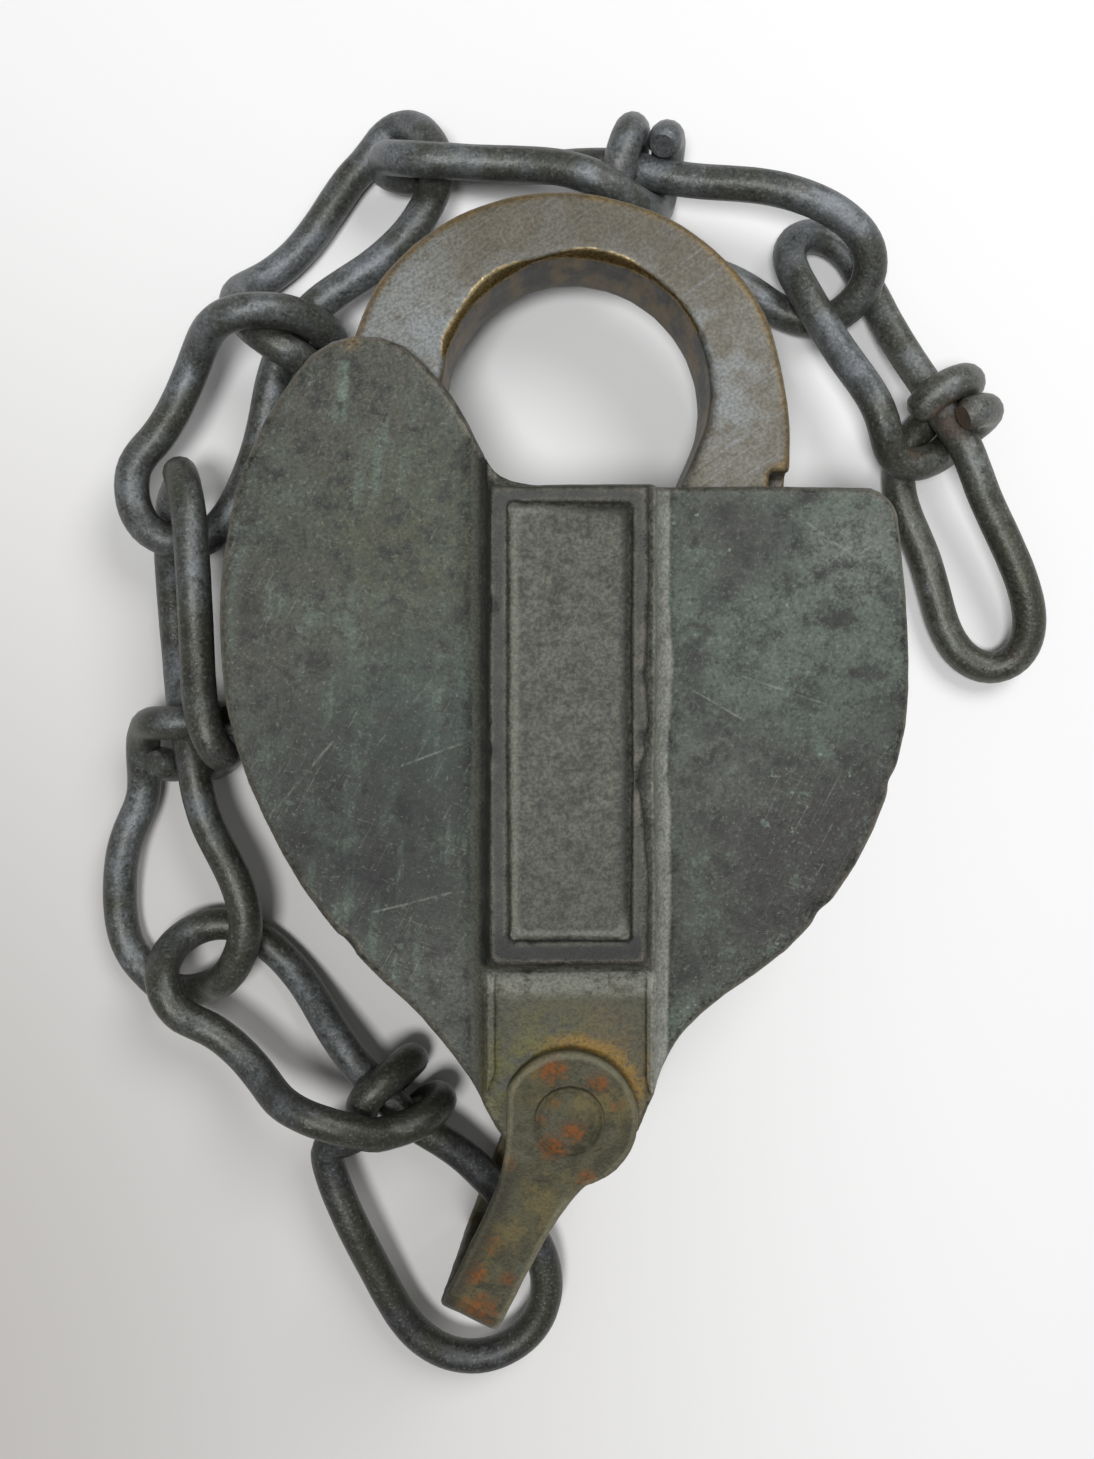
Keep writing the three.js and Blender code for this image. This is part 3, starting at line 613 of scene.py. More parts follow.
# the right fillet's pale colour is dust and painted light
FILLET_DUST_AND_PAINTED_LIGHT, FILLET_LEFT = srgb(140, 142, 134), srgb(82, 84, 75)
LOW_SPINE = srgb(71, 70, 53)
GRIME_YELLOW, GRIME_TAN, GRIME_GOLD = srgb(86, 84, 46), srgb(98, 82, 50), srgb(128, 100, 40)
# heights, the frame's lower end and the rivet's axis, in millimetres
CREST_Z = 25.3
RIM_TOP_Z = 26.3
FRAME_BOTTOM_Y = -24.3
EYE_CENTRE = (-0.2, -39.8)
# where the grime round the eye ends, and how far it is full
GRIME_RING = 13.5, 7.2
GOLD_RING = 8.8, 7.5


def low_spine_color(shader, color, x, y, clouds, mottle):
    """The bare stretch below the frame, with a pale strip of dust and painted light under the frame's foot
    and grime round the eye.
    """
    low = y.smooth(FRAME_BOTTOM_Y * MM, (FRAME_BOTTOM_Y - 3) * MM)
    color = shader.mix(color, LOW_SPINE, low * clouds.smooth(0.3, 0.55) * 0.8)
    # dust and painted light: a pale strip under the frame's foot, over the shadow the frame casts there
    ledge = y.band((FRAME_BOTTOM_Y - 3.4) * MM, (FRAME_BOTTOM_Y - 0.6) * MM, 0.7 * MM)
    color = shader.mix(color, DUST_AND_PAINTED_LIGHT, ledge * mottle.smooth(0.4, 0.54) * 0.75)
    ring = shader.near_axis(EYE_CENTRE, *GRIME_RING) * low
    left, right = x.smooth(5 * MM, -3 * MM), x.smooth(-1 * MM, 5 * MM)
    color = shader.mix(color, GRIME_YELLOW, ring * left * mottle.smooth(0.4, 0.56))
    color = shader.mix(color, GRIME_TAN, ring * right * mottle.smooth(0.4, 0.56))
    upper_right = y.smooth(-40 * MM, -36 * MM) * x.smooth(-5 * MM, 1 * MM)
    fringe = shader.near_axis(EYE_CENTRE, *GOLD_RING) * upper_right
    return shader.mix(color, GRIME_GOLD, fringe * mottle.smooth(0.36, 0.52) * 0.85)


def spine_color(shader, x, y, z, clouds, mottle, fine):
    """The spine: a dusty field in a dark rim with a painted shade on its left outer edge, the stretch below
    it, and the fillets, the right one pale from dust and painted light.
    """
    dusty = mottle.smooth(0.36, 0.6) * 0.6 + fine.smooth(0.42, 0.6) * 0.4
    color = shader.mix(FIELD_LOW, FIELD_HIGH, dusty)
    color = shader.mix(color, FIELD_LOW, y.smooth(-6 * MM, -22 * MM) * 0.25)
    color = low_spine_color(shader, color, x, y, clouds, mottle)
    color = shader.mix(color, PIT_AND_SHADE, fine.smooth(0.42, 0.32) * 0.55)
    in_frame = y.smooth((FRAME_BOTTOM_Y - 0.6) * MM, (FRAME_BOTTOM_Y + 0.2) * MM)
    rim = z.smooth((CREST_Z + 0.45) * MM, (RIM_TOP_Z - 0.25) * MM) * in_frame
    # painted shade: the frame's left outer edge, which faces away from the lamp, takes the rim's dark colour
    shaded_left_edge = x.smooth(-7.3 * MM, -7.9 * MM) * in_frame
    smoothed = shader.mix(RIM_DARK, FIELD_HIGH, mottle.smooth(0.5, 0.66) * 0.4)
    smoothed = shader.mix(smoothed, RIM_LOW, y.smooth(-19.5 * MM, -22 * MM))
    color = shader.mix(color, smoothed, rim.math("MAXIMUM", shaded_left_edge) * 0.92)
    # dust and painted light: the right fillet, which faces the lamp, is made paler
    pale = x.smooth(7.9 * MM, 8.5 * MM) * (0.6 + mottle.smooth(0.36, 0.56) * 0.4)
    color = shader.mix(color, FILLET_DUST_AND_PAINTED_LIGHT, pale * z.smooth(26.0 * MM, 25.2 * MM))
    return shader.mix(color, FILLET_LEFT, x.smooth(-8.8 * MM, -9.4 * MM) * 0.9)


print("the spine's frame ends at y =", FRAME_BOTTOM_Y, "mm")

# %% [markdown]
# The patina joins the two by place: the spine is what lies within 11 mm of the middle and above the wings.
# Then the stored relief is used. The hollows of the frame's left and lower sides, which the light reaches,
# are made paler by dust and painted light, its other hollows get a painted shade, and every proud edge is
# rubbed lighter, partly as a painted highlight.

# %% Patina
# worn brass on proud edges, which also stands for painted highlights on them
RUBBED_AND_HIGHLIGHT = srgb(110, 106, 95)
SPINE_SIDE = 11.6 * MM, 10.4 * MM
WING_TOP = 22.65 * MM, 22.85 * MM


def patina_material():
    shader = Shader("patinated brass")
    x, y, z = (shader.axis(letter) for letter in "XYZ")
    proud, hollow = shader.stored("proud"), shader.stored("hollow")
    clouds = shader.noise(75, 5.0, 0.6)
    mottle = shader.noise(430, 8.0, 0.78)
    fine = shader.noise(1500, 4.0, 0.65)
    grain = shader.noise(3000, 3.0, 0.65)

    wings = wing_color(shader, x, clouds, mottle, fine, grain)
    spine = spine_color(shader, x, y, z, clouds, mottle, fine)
    on_spine = x.math("ABSOLUTE").smooth(*SPINE_SIDE) * z.smooth(*WING_TOP)
    color = shader.mix(wings, spine, on_spine)
    in_frame = on_spine * y.smooth((FRAME_BOTTOM_Y - 0.4) * MM, (FRAME_BOTTOM_Y + 0.6) * MM)
    lit_corner = x.smooth(4 * MM, -4 * MM).math("MAXIMUM", y.smooth(-18 * MM, -21 * MM))
    # dust and painted light in the hollows of the frame's lit left and lower sides, painted shade in its
    # other hollows
    color = shader.mix(color, DUST_AND_PAINTED_LIGHT, hollow.smooth(0.15, 0.9) * in_frame * lit_corner * 0.7)
    color = shader.mix(color, PIT_AND_SHADE, hollow.smooth(0.2, 0.9) * in_frame * (1 - lit_corner) * 0.8)
    # rubbed edges, partly a painted highlight along them
    rubbed = proud.smooth(0.35, 1.0) * (0.75 - on_spine * 0.3) * mottle.smooth(0.36, 0.5)
    color = shader.speckled(shader.mix(color, RUBBED_AND_HIGHLIGHT, rubbed), grain, 0.24)

    roughness = 0.52 + (grain - 0.5) * 0.3 + (mottle - 0.5) * 0.3 - proud * 0.12 + hollow * 0.2
    metallic = 0.25 + proud.smooth(0.3, 1.0) * 0.25 - hollow.smooth(0.1, 0.7) * 0.2
    height = grain * 0.35 + fine * 0.8 + mottle * 1.3
    return shader.finish(color, roughness, metallic, shader.bump(height, 0.08 * MM))


PATINA = patina_material()
print("patina is mixed from", len(PATINA.node_tree.nodes), "nodes")

# %% [markdown]
# ## The case
#
# The case is the heart-shaped box with the spine and the raised rim on it. It gets the casting treatment
# with small squares, because the rim is only a millimetre high. The dents along the rim and the nick in
# the lower left edge come from knocks that the real lock has had. Beside the low end of the spine the
# drawn case has thin upright strips, which are worn down here.

# %% Case
CASE_SQUARE = 0.38 * MM
CASE_MIDDLE = np.array((0, 4 * MM))
CASE_ROOF_Z = 20.3 * MM
# centre, reach and depth
CASE_DENTS = (
    ((7.7 * MM, -1.8 * MM, 26.2 * MM), 1.6 * MM, 0.35 * MM),
    ((7.4 * MM, -6.0 * MM, 26.2 * MM), 2.0 * MM, 0.4 * MM),
    ((7.6 * MM, 4.6 * MM, 26.2 * MM), 1.2 * MM, 0.25 * MM),
    ((-8.0 * MM, 11.4 * MM, 26.2 * MM), 1.3 * MM, 0.3 * MM),
    ((-8.2 * MM, -3.0 * MM, 26.2 * MM), 1.6 * MM, 0.2 * MM),
    ((-22.7 * MM, -22.9 * MM, 21.9 * MM), 1.4 * MM, 0.8 * MM),
    ((33.4 * MM, -6.5 * MM, 22.0 * MM), 1.6 * MM, 0.4 * MM),
    ((25.4 * MM, -19.6 * MM, 22.0 * MM), 1.8 * MM, 0.4 * MM),
)
CASE_WAVES = ((14 * MM, 0.16 * MM), (4.5 * MM, 0.07 * MM), (1.7 * MM, 0.03 * MM))
# in millimetres: the low spine's height, where the strips start and over how long they fade in
LOW_SPINE_Z, STRIP_START_Y, STRIP_FADE = 24.2, -24.5, 0.8
STRIP_WEAR = 0.72
HIDDEN_SHARE = 0.6


def inner_skin(piece):
    """The points on the case's inner walls and under its roof."""
    points, out = points_of(piece.data), normals_of(piece.data)
    inward = ((points[:, :2] - CASE_MIDDLE) * out[:, :2]).sum(axis=1) < 0
    return (inward & (points[:, 2] < CASE_ROOF_Z)) | (out[:, 2] < -0.5)


def sink_strips(piece):
    """Wear down the thin strips beside the low end of the spine."""
    points = points_of(piece.data)
    fade = np.clip((STRIP_START_Y - points[:, 1] / MM) / STRIP_FADE, 0, 1)
    above = np.clip(points[:, 2] / MM - LOW_SPINE_Z, 0, None)
    points[:, 2] -= above * fade * STRIP_WEAR * MM
    set_points(piece.data, points)


case = even_squares(welded_copy("case", "case_casting"), CASE_SQUARE)
sink_strips(case)
thin_out(case, inner_skin(case), HIDDEN_SHARE)
make_wavy(case, CASE_WAVES, seed=3)
dent(case, CASE_DENTS)
measure_relief(case, passes=5, full=0.1 * MM)
put_in_place(case, PATINA, "lock_body", "patinated_brass", "case")

# %% [markdown]
# ## The keyhole side
#
# The cover plate closes the case from behind, and a pear-shaped drop hangs over its keyhole. They have the
# same patina. The plate is flat and plain, so its squares can be larger, and the small drop needs finer
# ones.

# %% Cover plate and drop
COVER_SQUARE, DROP_SQUARE = 0.55 * MM, 0.25 * MM
COVER_WAVES = ((12 * MM, 0.1 * MM), (3 * MM, 0.03 * MM))

cover = even_squares(welded_copy("cover_plate", "cover_casting"), COVER_SQUARE)
make_wavy(cover, COVER_WAVES, seed=11)
measure_relief(cover, passes=8, full=0.14 * MM)
put_in_place(cover, PATINA, "lock_body", "patinated_brass", "cover_plate")

drop = even_squares(welded_copy("drop_cover", "keyhole_drop"), DROP_SQUARE)
measure_relief(drop, passes=8, full=0.08 * MM)
put_in_place(drop, PATINA, "drop", "patinated_brass", "drop_cover")

# %% [markdown]
# ## The bow
#
# The bow is a flat-faced ring that slides along whatever it locks, so it is bare of green: a mottled
# grey-brown tarnish with fine file marks across it and a thin golden rim. The bore's wall is stained dark
# gold at the top, and below it is grey, a painted reflection of the white board. `hammered` is a mask that
# the next step stores on the mesh: it marks the bites along the bore's upper edge, which are bare struck
# brass with a painted highlight.

# %% Brass of the bow
BOW_CENTRE = Vector((0.8, 33.7, 13.5))
BOW_BORE = 13.9
BOW_TOP = 19.6
BOW_GREY = srgb(107, 105, 97)
BOW_BROWN = srgb(80, 74, 59)
BOW_BLUE = srgb(124, 129, 130)
BOW_RIM = srgb(124, 102, 60)
# painted highlight on the struck bites
BOW_BRIGHT = srgb(206, 184, 134)
BORE_GOLD = srgb(98, 76, 24)
BORE_DARK = srgb(18, 14, 5)
# painted reflection of the white board in the bore's lower wall
BORE_BOARD_REFLECTION = srgb(72, 66, 49)
# rings round the bore's axis, in millimetres: where a mask ends, and how far it is full
WALL_RING = BOW_BORE + 0.75, BOW_BORE + 0.35
INNER_RING = BOW_BORE + 2.4, BOW_BORE + 1.0
LOW_EDGE_RING = BOW_BORE + 0.8, BOW_BORE + 0.1


def bow_face(shader, x, y, clouds, mottle, marks, cross):
    """The flat face: brown at the crown, bluish at the left, with file marks."""
    crown = y.smooth(41 * MM, 49 * MM)
    color = shader.mix(BOW_BROWN, BOW_GREY, 0.35 + mottle.smooth(0.36, 0.6) * 0.65)
    color = shader.mix(color, BOW_BROWN, crown * (0.5 + clouds.smooth(0.4, 0.56) * 0.4))
    color = shader.mix(color, BOW_BLUE, clouds.smooth(0.46, 0.6) * (0.7 - crown * 0.5))
    color = shader.mix(color, BOW_BLUE, x.smooth(-9 * MM, -16 * MM) * mottle.smooth(0.3, 0.5) * 0.5)
    color = shader.mix(color, BOW_BLUE, marks.smooth(0.56, 0.68) * x.smooth(0, 16 * MM) * 0.4)
    color = shader.mix(color, BOW_BROWN, marks.smooth(0.42, 0.3) * x.smooth(0, 12 * MM) * 0.6)
    return shader.mix(color, BOW_BLUE, cross.smooth(0.6, 0.76) * x.smooth(8 * MM, -8 * MM) * 0.25)


def bore_color(shader, y, z):
    """The bore's wall: upright streaks of dark gold at the top, and below a grey that is a painted
    reflection of the white board.
    """
    streaks = shader.noise(330, 5.0, 0.7, stretch=(1.0, 1.0, 0.3)).smooth(0.4, 0.6)
    stain = shader.mix(BORE_GOLD, BORE_DARK, streaks)
    upper = z.smooth(7.6 * MM, 11.5 * MM) * y.smooth(24 * MM, 32 * MM)
    return shader.mix(BORE_BOARD_REFLECTION, stain, upper)


def bow_material():
    shader = Shader("worn brass")
    x, y, z = (shader.axis(letter) for letter in "XYZ")
    proud, hollow = shader.stored("proud"), shader.stored("hollow")
    clouds = shader.noise(130, 5.0, 0.6)
    mottle = shader.noise(520, 8.0, 0.78)
    grain = shader.noise(2800, 3.0, 0.65)
    marks = shader.lines(33, 9, 0.4)
    cross = shader.lines(118, 5, 0.3)

    color = bow_face(shader, x, y, clouds, mottle, marks, cross)
    below_top = z.smooth((BOW_TOP - 0.25) * MM, (BOW_TOP - 0.75) * MM)
    wall = shader.near_axis(BOW_CENTRE, *WALL_RING) * below_top
    color = shader.mix(color, bore_color(shader, y, z), wall)
    color = shader.mix(color, BORE_DARK, hollow.smooth(0.3, 1.0) * 0.6)
    rim = proud.smooth(0.25, 0.7) * (1 - shader.near_axis(BOW_CENTRE, *INNER_RING))
    color = shader.mix(color, BOW_RIM, rim * (0.35 + mottle.smooth(0.4, 0.56) * 0.45))
    hammered = shader.stored("hammered").smooth(0.1, 0.6)
    # the bites are bare struck brass with a painted highlight, brightest on their proud edge and at the
    # left, dark gold near the bore
    struck_highlight = proud.smooth(0.1, 0.7) * 0.5 + x.smooth(-3 * MM, -9 * MM) * 0.4 + (mottle - 0.5) * 0.5
    struck = shader.mix(BOW_RIM, BOW_BRIGHT, struck_highlight)
    struck = shader.mix(struck, BORE_GOLD, shader.near_axis(BOW_CENTRE, *LOW_EDGE_RING) * 0.8)
    color = shader.speckled(shader.mix(color, struck, hammered * 0.9), grain, 0.24)

    roughness = 0.48 + (grain - 0.5) * 0.2 + (mottle - 0.5) * 0.25 - hammered * 0.2
    metallic = 0.35 + rim * 0.2 + hammered * 0.4
    height = grain * 0.3 + marks * 0.9 + cross * 0.5 + mottle * 0.8
    return shader.finish(color, roughness, metallic, shader.bump(height, 0.06 * MM))


BOW_BRASS = bow_material()
print("the bow's brass is mixed from", len(BOW_BRASS.node_tree.nodes), "nodes")

# %% [markdown]
# The CAD bore is a polygon, so its points are first drawn onto a true circle. Then chains and hasps get
# their say: over the years they have hammered the bore's upper edge into shallow bites. Each point of the
# edge is pressed onto a slope whose width and depth change along the arc.

# %% Bow
BOW_SQUARE = 0.36 * MM
BOW_WAVES = ((9 * MM, 0.12 * MM), (3 * MM, 0.05 * MM))
# degrees round the bore: its arc, where the bites start and end, and over how much they fade
BORE_ARC = (-3, 168)
BITES_ARC, BITES_FADE = (5, 172), (40, 14)
BITES_IN_TURN = 7.1
# where the bites get wider, at the left
WIDE_START, WIDE_FADE = 110, 30
NO_SLOPE = 1e-6


def turns_round_bore(points):
    """Each point's offset from the bore's axis in the plan, and its direction in degrees."""
    offset = points[:, :2] / MM - np.array(BOW_CENTRE[:2])
    return offset, np.degrees(np.arctan2(offset[:, 1], offset[:, 0]))


def round_bore(piece):
    """Draw the points of the bore's faceted wall out to one circle."""
    points = points_of(piece.data)
    offset, turn = turns_round_bore(points)
    radius = np.linalg.norm(offset, axis=1)
    on_wall = (radius < BOW_BORE) & (turn > BORE_ARC[0]) & (turn < BORE_ARC[1])
    points[on_wall, :2] += (offset * (BOW_BORE / radius - 1)[:, None] * MM)[on_wall]
    set_points(piece.data, points)


def bite_sizes(turn):
    """How wide and how deep the edge is pressed at each direction, in millimetres."""
    fade = np.clip((turn - BITES_ARC[0]) / BITES_FADE[0], 0, 1)
    fade *= np.clip((BITES_ARC[1] - turn) / BITES_FADE[1], 0, 1)
    uneven = 40 * np.sin(np.radians(turn * 3))
    scallops = 0.5 - 0.5 * np.cos(np.radians(turn * BITES_IN_TURN + uneven))
    at_left = np.clip((turn - WIDE_START) / WIDE_FADE, 0, 1)
    wide = fade * (0.3 + 0.35 * scallops + 0.4 * at_left) + NO_SLOPE
    deep = fade * (0.9 + 0.7 * scallops) + NO_SLOPE
    return wide, deep, fade > 0


def hammer_edge(piece):
    """Press the bore's upper edge into a wavy slope, and store where it is."""
    points = points_of(piece.data)
    offset, turn = turns_round_bore(points)
    wide, deep, bitten = bite_sizes(turn)
    away = np.linalg.norm(offset, axis=1) - BOW_BORE
    below = points[:, 2] / MM - BOW_TOP
    slope = np.hypot(wide, deep)
    above = ((below + deep) * wide - away * deep) / slope
    struck = (above > 0) & (away < wide) & (away > -1) & bitten
    outward = offset / np.linalg.norm(offset, axis=1)[:, None]
    press = (above * struck)[:, None]
    points[:, :2] += outward * press * (deep / slope)[:, None] * MM
    points[:, 2] -= (press[:, 0] * wide / slope) * MM
    set_points(piece.data, points)
    store(piece.data, "hammered", averaged(struck.astype(float), edges_of(piece.data), 1))


bow = even_squares(welded_copy("shackle", "bow"), BOW_SQUARE)
round_bore(bow)
hammer_edge(bow)
make_wavy(bow, BOW_WAVES, seed=21)
measure_relief(bow, passes=4, full=0.1 * MM)
put_in_place(bow, BOW_BRASS, "bow", "worn_brass", "shackle")

# %% [markdown]
# ## Clevis and rivet
#
# The clevis is a bent steel strap with a rivet through the tip of the case. Steel rusts where brass only
# dulls: the olive-grey skin has orange spots where they are on the real one, and finer rust scattered
# between them. The strap gets a painted shade along its left side and a painted highlight along its right
# edge, so the material measures along and across it with two directions.

# %% Steel and rust
STEEL_OLIVE = srgb(74, 71, 49)
STEEL_GREY = srgb(78, 78, 66)
STEEL_DARK = srgb(38, 36, 24)
STEEL_EDGE = srgb(126, 122, 100)
RUST = srgb(88, 60, 26)
RUST_BRIGHT = srgb(116, 66, 16)
GRIME = srgb(98, 87, 46)
# directions across the strap, towards its left side, and along it, away from the eye
STRAP_ACROSS, STRAP_ALONG = (-0.893, 0.449, 0.0), (-0.449, -0.893, 0.0)
# in millimetres along them: where the strap starts, its painted shade band at the left and its painted
# highlight at the right edge
STRAP_START = 40.6, 44.6
LEFT_SHADE_BAND = -16.7, -15.1
RIGHT_HIGHLIGHT_EDGE = -20.2, -20.8
# centre and reach in millimetres, strength
RUST_SPOTS = (
    ((-2.0, -34.6, 26.3), 1.8, 0.9),
    ((2.7, -36.1, 26.3), 1.4, 0.8),
    ((4.6, -38.4, 26.3), 1.0, 0.5),
    ((-1.8, -37.7, 27.4), 1.0, 0.5),
    ((0.3, -40.4, 27.6), 1.5, 0.9),
    ((-2.0, -42.4, 27.2), 1.7, 1.0),
    ((-3.1, -39.4, 27.2), 0.9, 0.6),
    ((-6.4, -44.0, 26.3), 1.2, 0.6),
    ((1.5, -45.7, 26.3), 1.2, 0.7),
    ((-7.8, -52.1, 26.3), 1.5, 0.6),
    ((-9.5, -55.0, 26.3), 1.4, 0.9),
    ((-6.3, -55.6, 26.3), 1.2, 0.7),
    ((-9.2, -58.9, 26.3), 2.2, 0.9),
)


def rust_mask(shader, mottle, fine):
    """Scattered rust and the large spots, with ragged borders."""
    spots = shader.noise(420, 5.0, 0.7).smooth(0.68, 0.76) * 0.6
    for centre, reach, strength in RUST_SPOTS:
        spots = spots.math("MAXIMUM", shader.near(centre, reach * 1.7) * strength)
    ragged = spots + (mottle - 0.5) * 1.1 + (fine - 0.5) * 0.8
    return ragged.smooth(0.2, 0.9) * spots.smooth(0.02, 0.2)


def rusted_material():
    shader = Shader("rusted steel")
    proud, hollow = shader.stored("proud"), shader.stored("hollow")
    clouds = shader.noise(150, 5.0, 0.6)
    mottle = shader.noise(560, 8.0, 0.78)
    fine = shader.noise(1500, 4.0, 0.65)
    grain = shader.noise(3000, 3.0, 0.65)

    color = shader.mix(STEEL_DARK, STEEL_OLIVE, 0.35 + mottle.smooth(0.36, 0.58) * 0.65)
    color = shader.mix(color, STEEL_GREY, clouds.smooth(0.48, 0.62) * mottle.smooth(0.4, 0.6) * 0.7)
    color = shader.mix(color, GRIME, clouds.smooth(0.5, 0.38) * mottle.smooth(0.35, 0.6) * 0.7)
    color = shader.mix(color, STEEL_DARK, fine.smooth(0.4, 0.3) * 0.5)
    rust = rust_mask(shader, mottle, fine)
    color = shader.mix(color, shader.mix(RUST, RUST_BRIGHT, fine.smooth(0.44, 0.58)), rust * 0.9)
    color = shader.mix(color, STEEL_DARK, hollow.smooth(0.2, 1.0) * 0.7)
    color = shader.mix(color, STEEL_EDGE, proud.smooth(0.35, 1.0) * 0.45)
    across, along = (shader.along(way) / MM for way in (STRAP_ACROSS, STRAP_ALONG))
    on_strap = along.smooth(*STRAP_START)
    # painted shade on the strap's left side and painted highlight on its right edge
    color = shader.mix(color, STEEL_DARK, across.smooth(*LEFT_SHADE_BAND) * on_strap * 0.75)
    color = shader.mix(color, STEEL_EDGE, across.smooth(*RIGHT_HIGHLIGHT_EDGE) * on_strap * 0.5)
    color = shader.speckled(color, grain, 0.16, (0.3, 0.7))

    roughness = 0.5 + (grain - 0.5) * 0.25 + rust * 0.25
    height = grain * 0.4 + fine * 0.9 + mottle * 1.6
    return shader.finish(color, roughness, 0.3 - rust * 0.28, shader.bump(height, 0.09 * MM))


RUSTED = rusted_material()
print("rusted steel is mixed from", len(RUSTED.node_tree.nodes), "nodes")

# %% [markdown]
# Both pieces are hammered steel, so they get waves of their own. The CAD leaves a gap between the rivet's
# head and the strap, which is closed here: the flat underside of the head is let down onto the strap.

# %% Clevis and rivet
CLEVIS_SQUARE, RIVET_SQUARE = 0.28 * MM, 0.16 * MM
CLEVIS_WAVES = ((6 * MM, 0.12 * MM), (1.8 * MM, 0.06 * MM))
RIVET_WAVES = ((2.2 * MM, 0.08 * MM), (0.8 * MM, 0.03 * MM))
# the shank's radius, the height of the head's underside, its gap and the reach of the move, in millimetres
SHANK_RADIUS, HEAD_Z, HEAD_GAP, HEAD_REACH = 2.6, 26.6, 0.27, 0.5


def seat_head(piece):
    """Let the flat underside of the rivet's head down onto the strap."""
    points = points_of(piece.data)
    from_axis = np.linalg.norm(points[:, :2] / MM - np.array(EYE_CENTRE), axis=1)
    under = (from_axis > SHANK_RADIUS) & (points[:, 2] > (HEAD_Z - HEAD_REACH) * MM)
    share = np.clip((HEAD_Z + HEAD_REACH - points[:, 2] / MM) / HEAD_REACH, 0, 1)
    points[:, 2] -= under * share * HEAD_GAP * MM
    set_points(piece.data, points)


clevis = even_squares(welded_copy("chain_clevis", "riveted_clevis"), CLEVIS_SQUARE)
make_wavy(clevis, CLEVIS_WAVES, seed=31)
measure_relief(clevis, passes=6, full=0.1 * MM)
put_in_place(clevis, RUSTED, "clevis", "rusted_steel", "chain_clevis")

rivet = even_squares(welded_copy("clevis_rivet", "hammered_rivet"), RIVET_SQUARE)
seat_head(rivet)
make_wavy(rivet, RIVET_WAVES, seed=37)
measure_relief(rivet, passes=8, full=0.07 * MM)
put_in_place(rivet, RUSTED, "lock_body", "rusted_steel", "clevis_rivet")

# %% [markdown]
# ## Pins and inner parts
#
# The small pins and the parts that never show keep their drawn shape. They still get materials, so that
# the lock can be opened.

# %% Pins and inner parts
STEEL_LOW, STEEL_HIGH = srgb(124, 122, 116), srgb(166, 164, 158)
INNER_NODES = (
    "locking_bolt", "bolt_spring", "lever_1", "lever_2", "lever_spring_1", "lever_spring_2",
    "lever_post", "key_post",
)
BRASS_PINS = [f"cover_pin_{number}" for number in range(1, 6)] + ["drop_cover_rivet"]


def plain_steel():
    shader = Shader("inner steel")
    grain = shader.noise(1800, 4.0, 0.6)
    return shader.finish(shader.mix(STEEL_LOW, STEEL_HIGH, grain), 0.38 + grain * 0.2, 0.85)


for material, nodes in ((plain_steel(), INNER_NODES), (PATINA, BRASS_PINS), (BOW_BRASS, ["shackle_pin"])):
    for node in nodes:
        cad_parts[node].material_slots[0].material = material
    print(material.name, "is on", ", ".join(nodes))

# %% [markdown]
# ## The chain
#
# Each link is one length of zinc-coated wire, bent into two loops and wrapped round its own middle. The CAD
# solid of a link is a plain tube of rings, so the middles of its rings are the wire's path. The walk along
# the tube starts at a cut end, which is the only flat place with all its corners at one distance from
# their middle.

# %% Wire paths
RING_CORNERS = 8
FLAT_ANGLE = 0.004
ROUND_SHARE = 1.02


def in_order(corners):
    """The corners by their number, because the order of a set changes from run to run."""
    return sorted(corners, key=lambda corner: corner.index)


def cut_end(skin):
    """The ring of corners round one flat end of a tube."""
    for face in skin.faces:
        flat, queue = {face}, [face]
        while queue:
            for edge in queue.pop().edges:
                for other in edge.link_faces:
                    if other not in flat and other.normal.angle(face.normal) < FLAT_ANGLE:
                        flat.add(other)
                        queue.append(other)
        corners = {corner for part in flat for corner in part.verts}
        if len(corners) != RING_CORNERS:
            continue
        middle = sum((corner.co for corner in corners), Vector()) / RING_CORNERS
        reach = [(corner.co - middle).length for corner in corners]
        if max(reach) < ROUND_SHARE * min(reach):
            return in_order(corners)
    raise ValueError("no cut end found")


def centre_line(node):
    """The middles of a swept tube's rings, from one cut end to the other."""
    skin = bmesh.new()
    skin.from_mesh(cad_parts[node].data)
    bmesh.ops.remove_doubles(skin, verts=skin.verts, dist=WELD)
    skin.normal_update()
    skin.verts.index_update()
    ring = cut_end(skin)
    seen, middles = set(ring), []
    while ring:
        middles.append(sum((corner.co for corner in ring), Vector()) / len(ring))
        beyond = {edge.other_vert(corner) for corner in ring for edge in corner.link_edges} - seen
        seen |= beyond
        ring = in_order(beyond)
    skin.free()
    return middles


drawn_paths = {number: centre_line(f"chain_link_{number}") for number in range(1, 6)}
print("rings in each link:", [len(path) for path in drawn_paths.values()])

# %% [markdown]
# The CAD keeps a gap between neighbouring turns of a knot, but a real knot is pulled tight. So each path is
# tightened, one small step after another: the turns at both ends of the wire are drawn towards the link's
# waist, bumps are smoothed out, and strands that come closer than one wire are pushed apart again. Where
# two links cross, the wire keeps its place, so that the links can still turn about each other.

# %% Tight knots
# in millimetres: a turn's distance from the waist's middle, half of the knot's width, how close two strands
# may come, the longest move, the lowest height, and the least length that is divided by
TURN_RADIUS, HALF_KNOT, WIRE_TOUCH, LONGEST_MOVE, LOWEST_Z, LEAST_LENGTH = 4.0, 2.0, 3.96, 3.2, 2.0, 0.1
# a wire keeps its place this close to another link, and is free from this far away
HELD, FREE = 4.6, 6.6
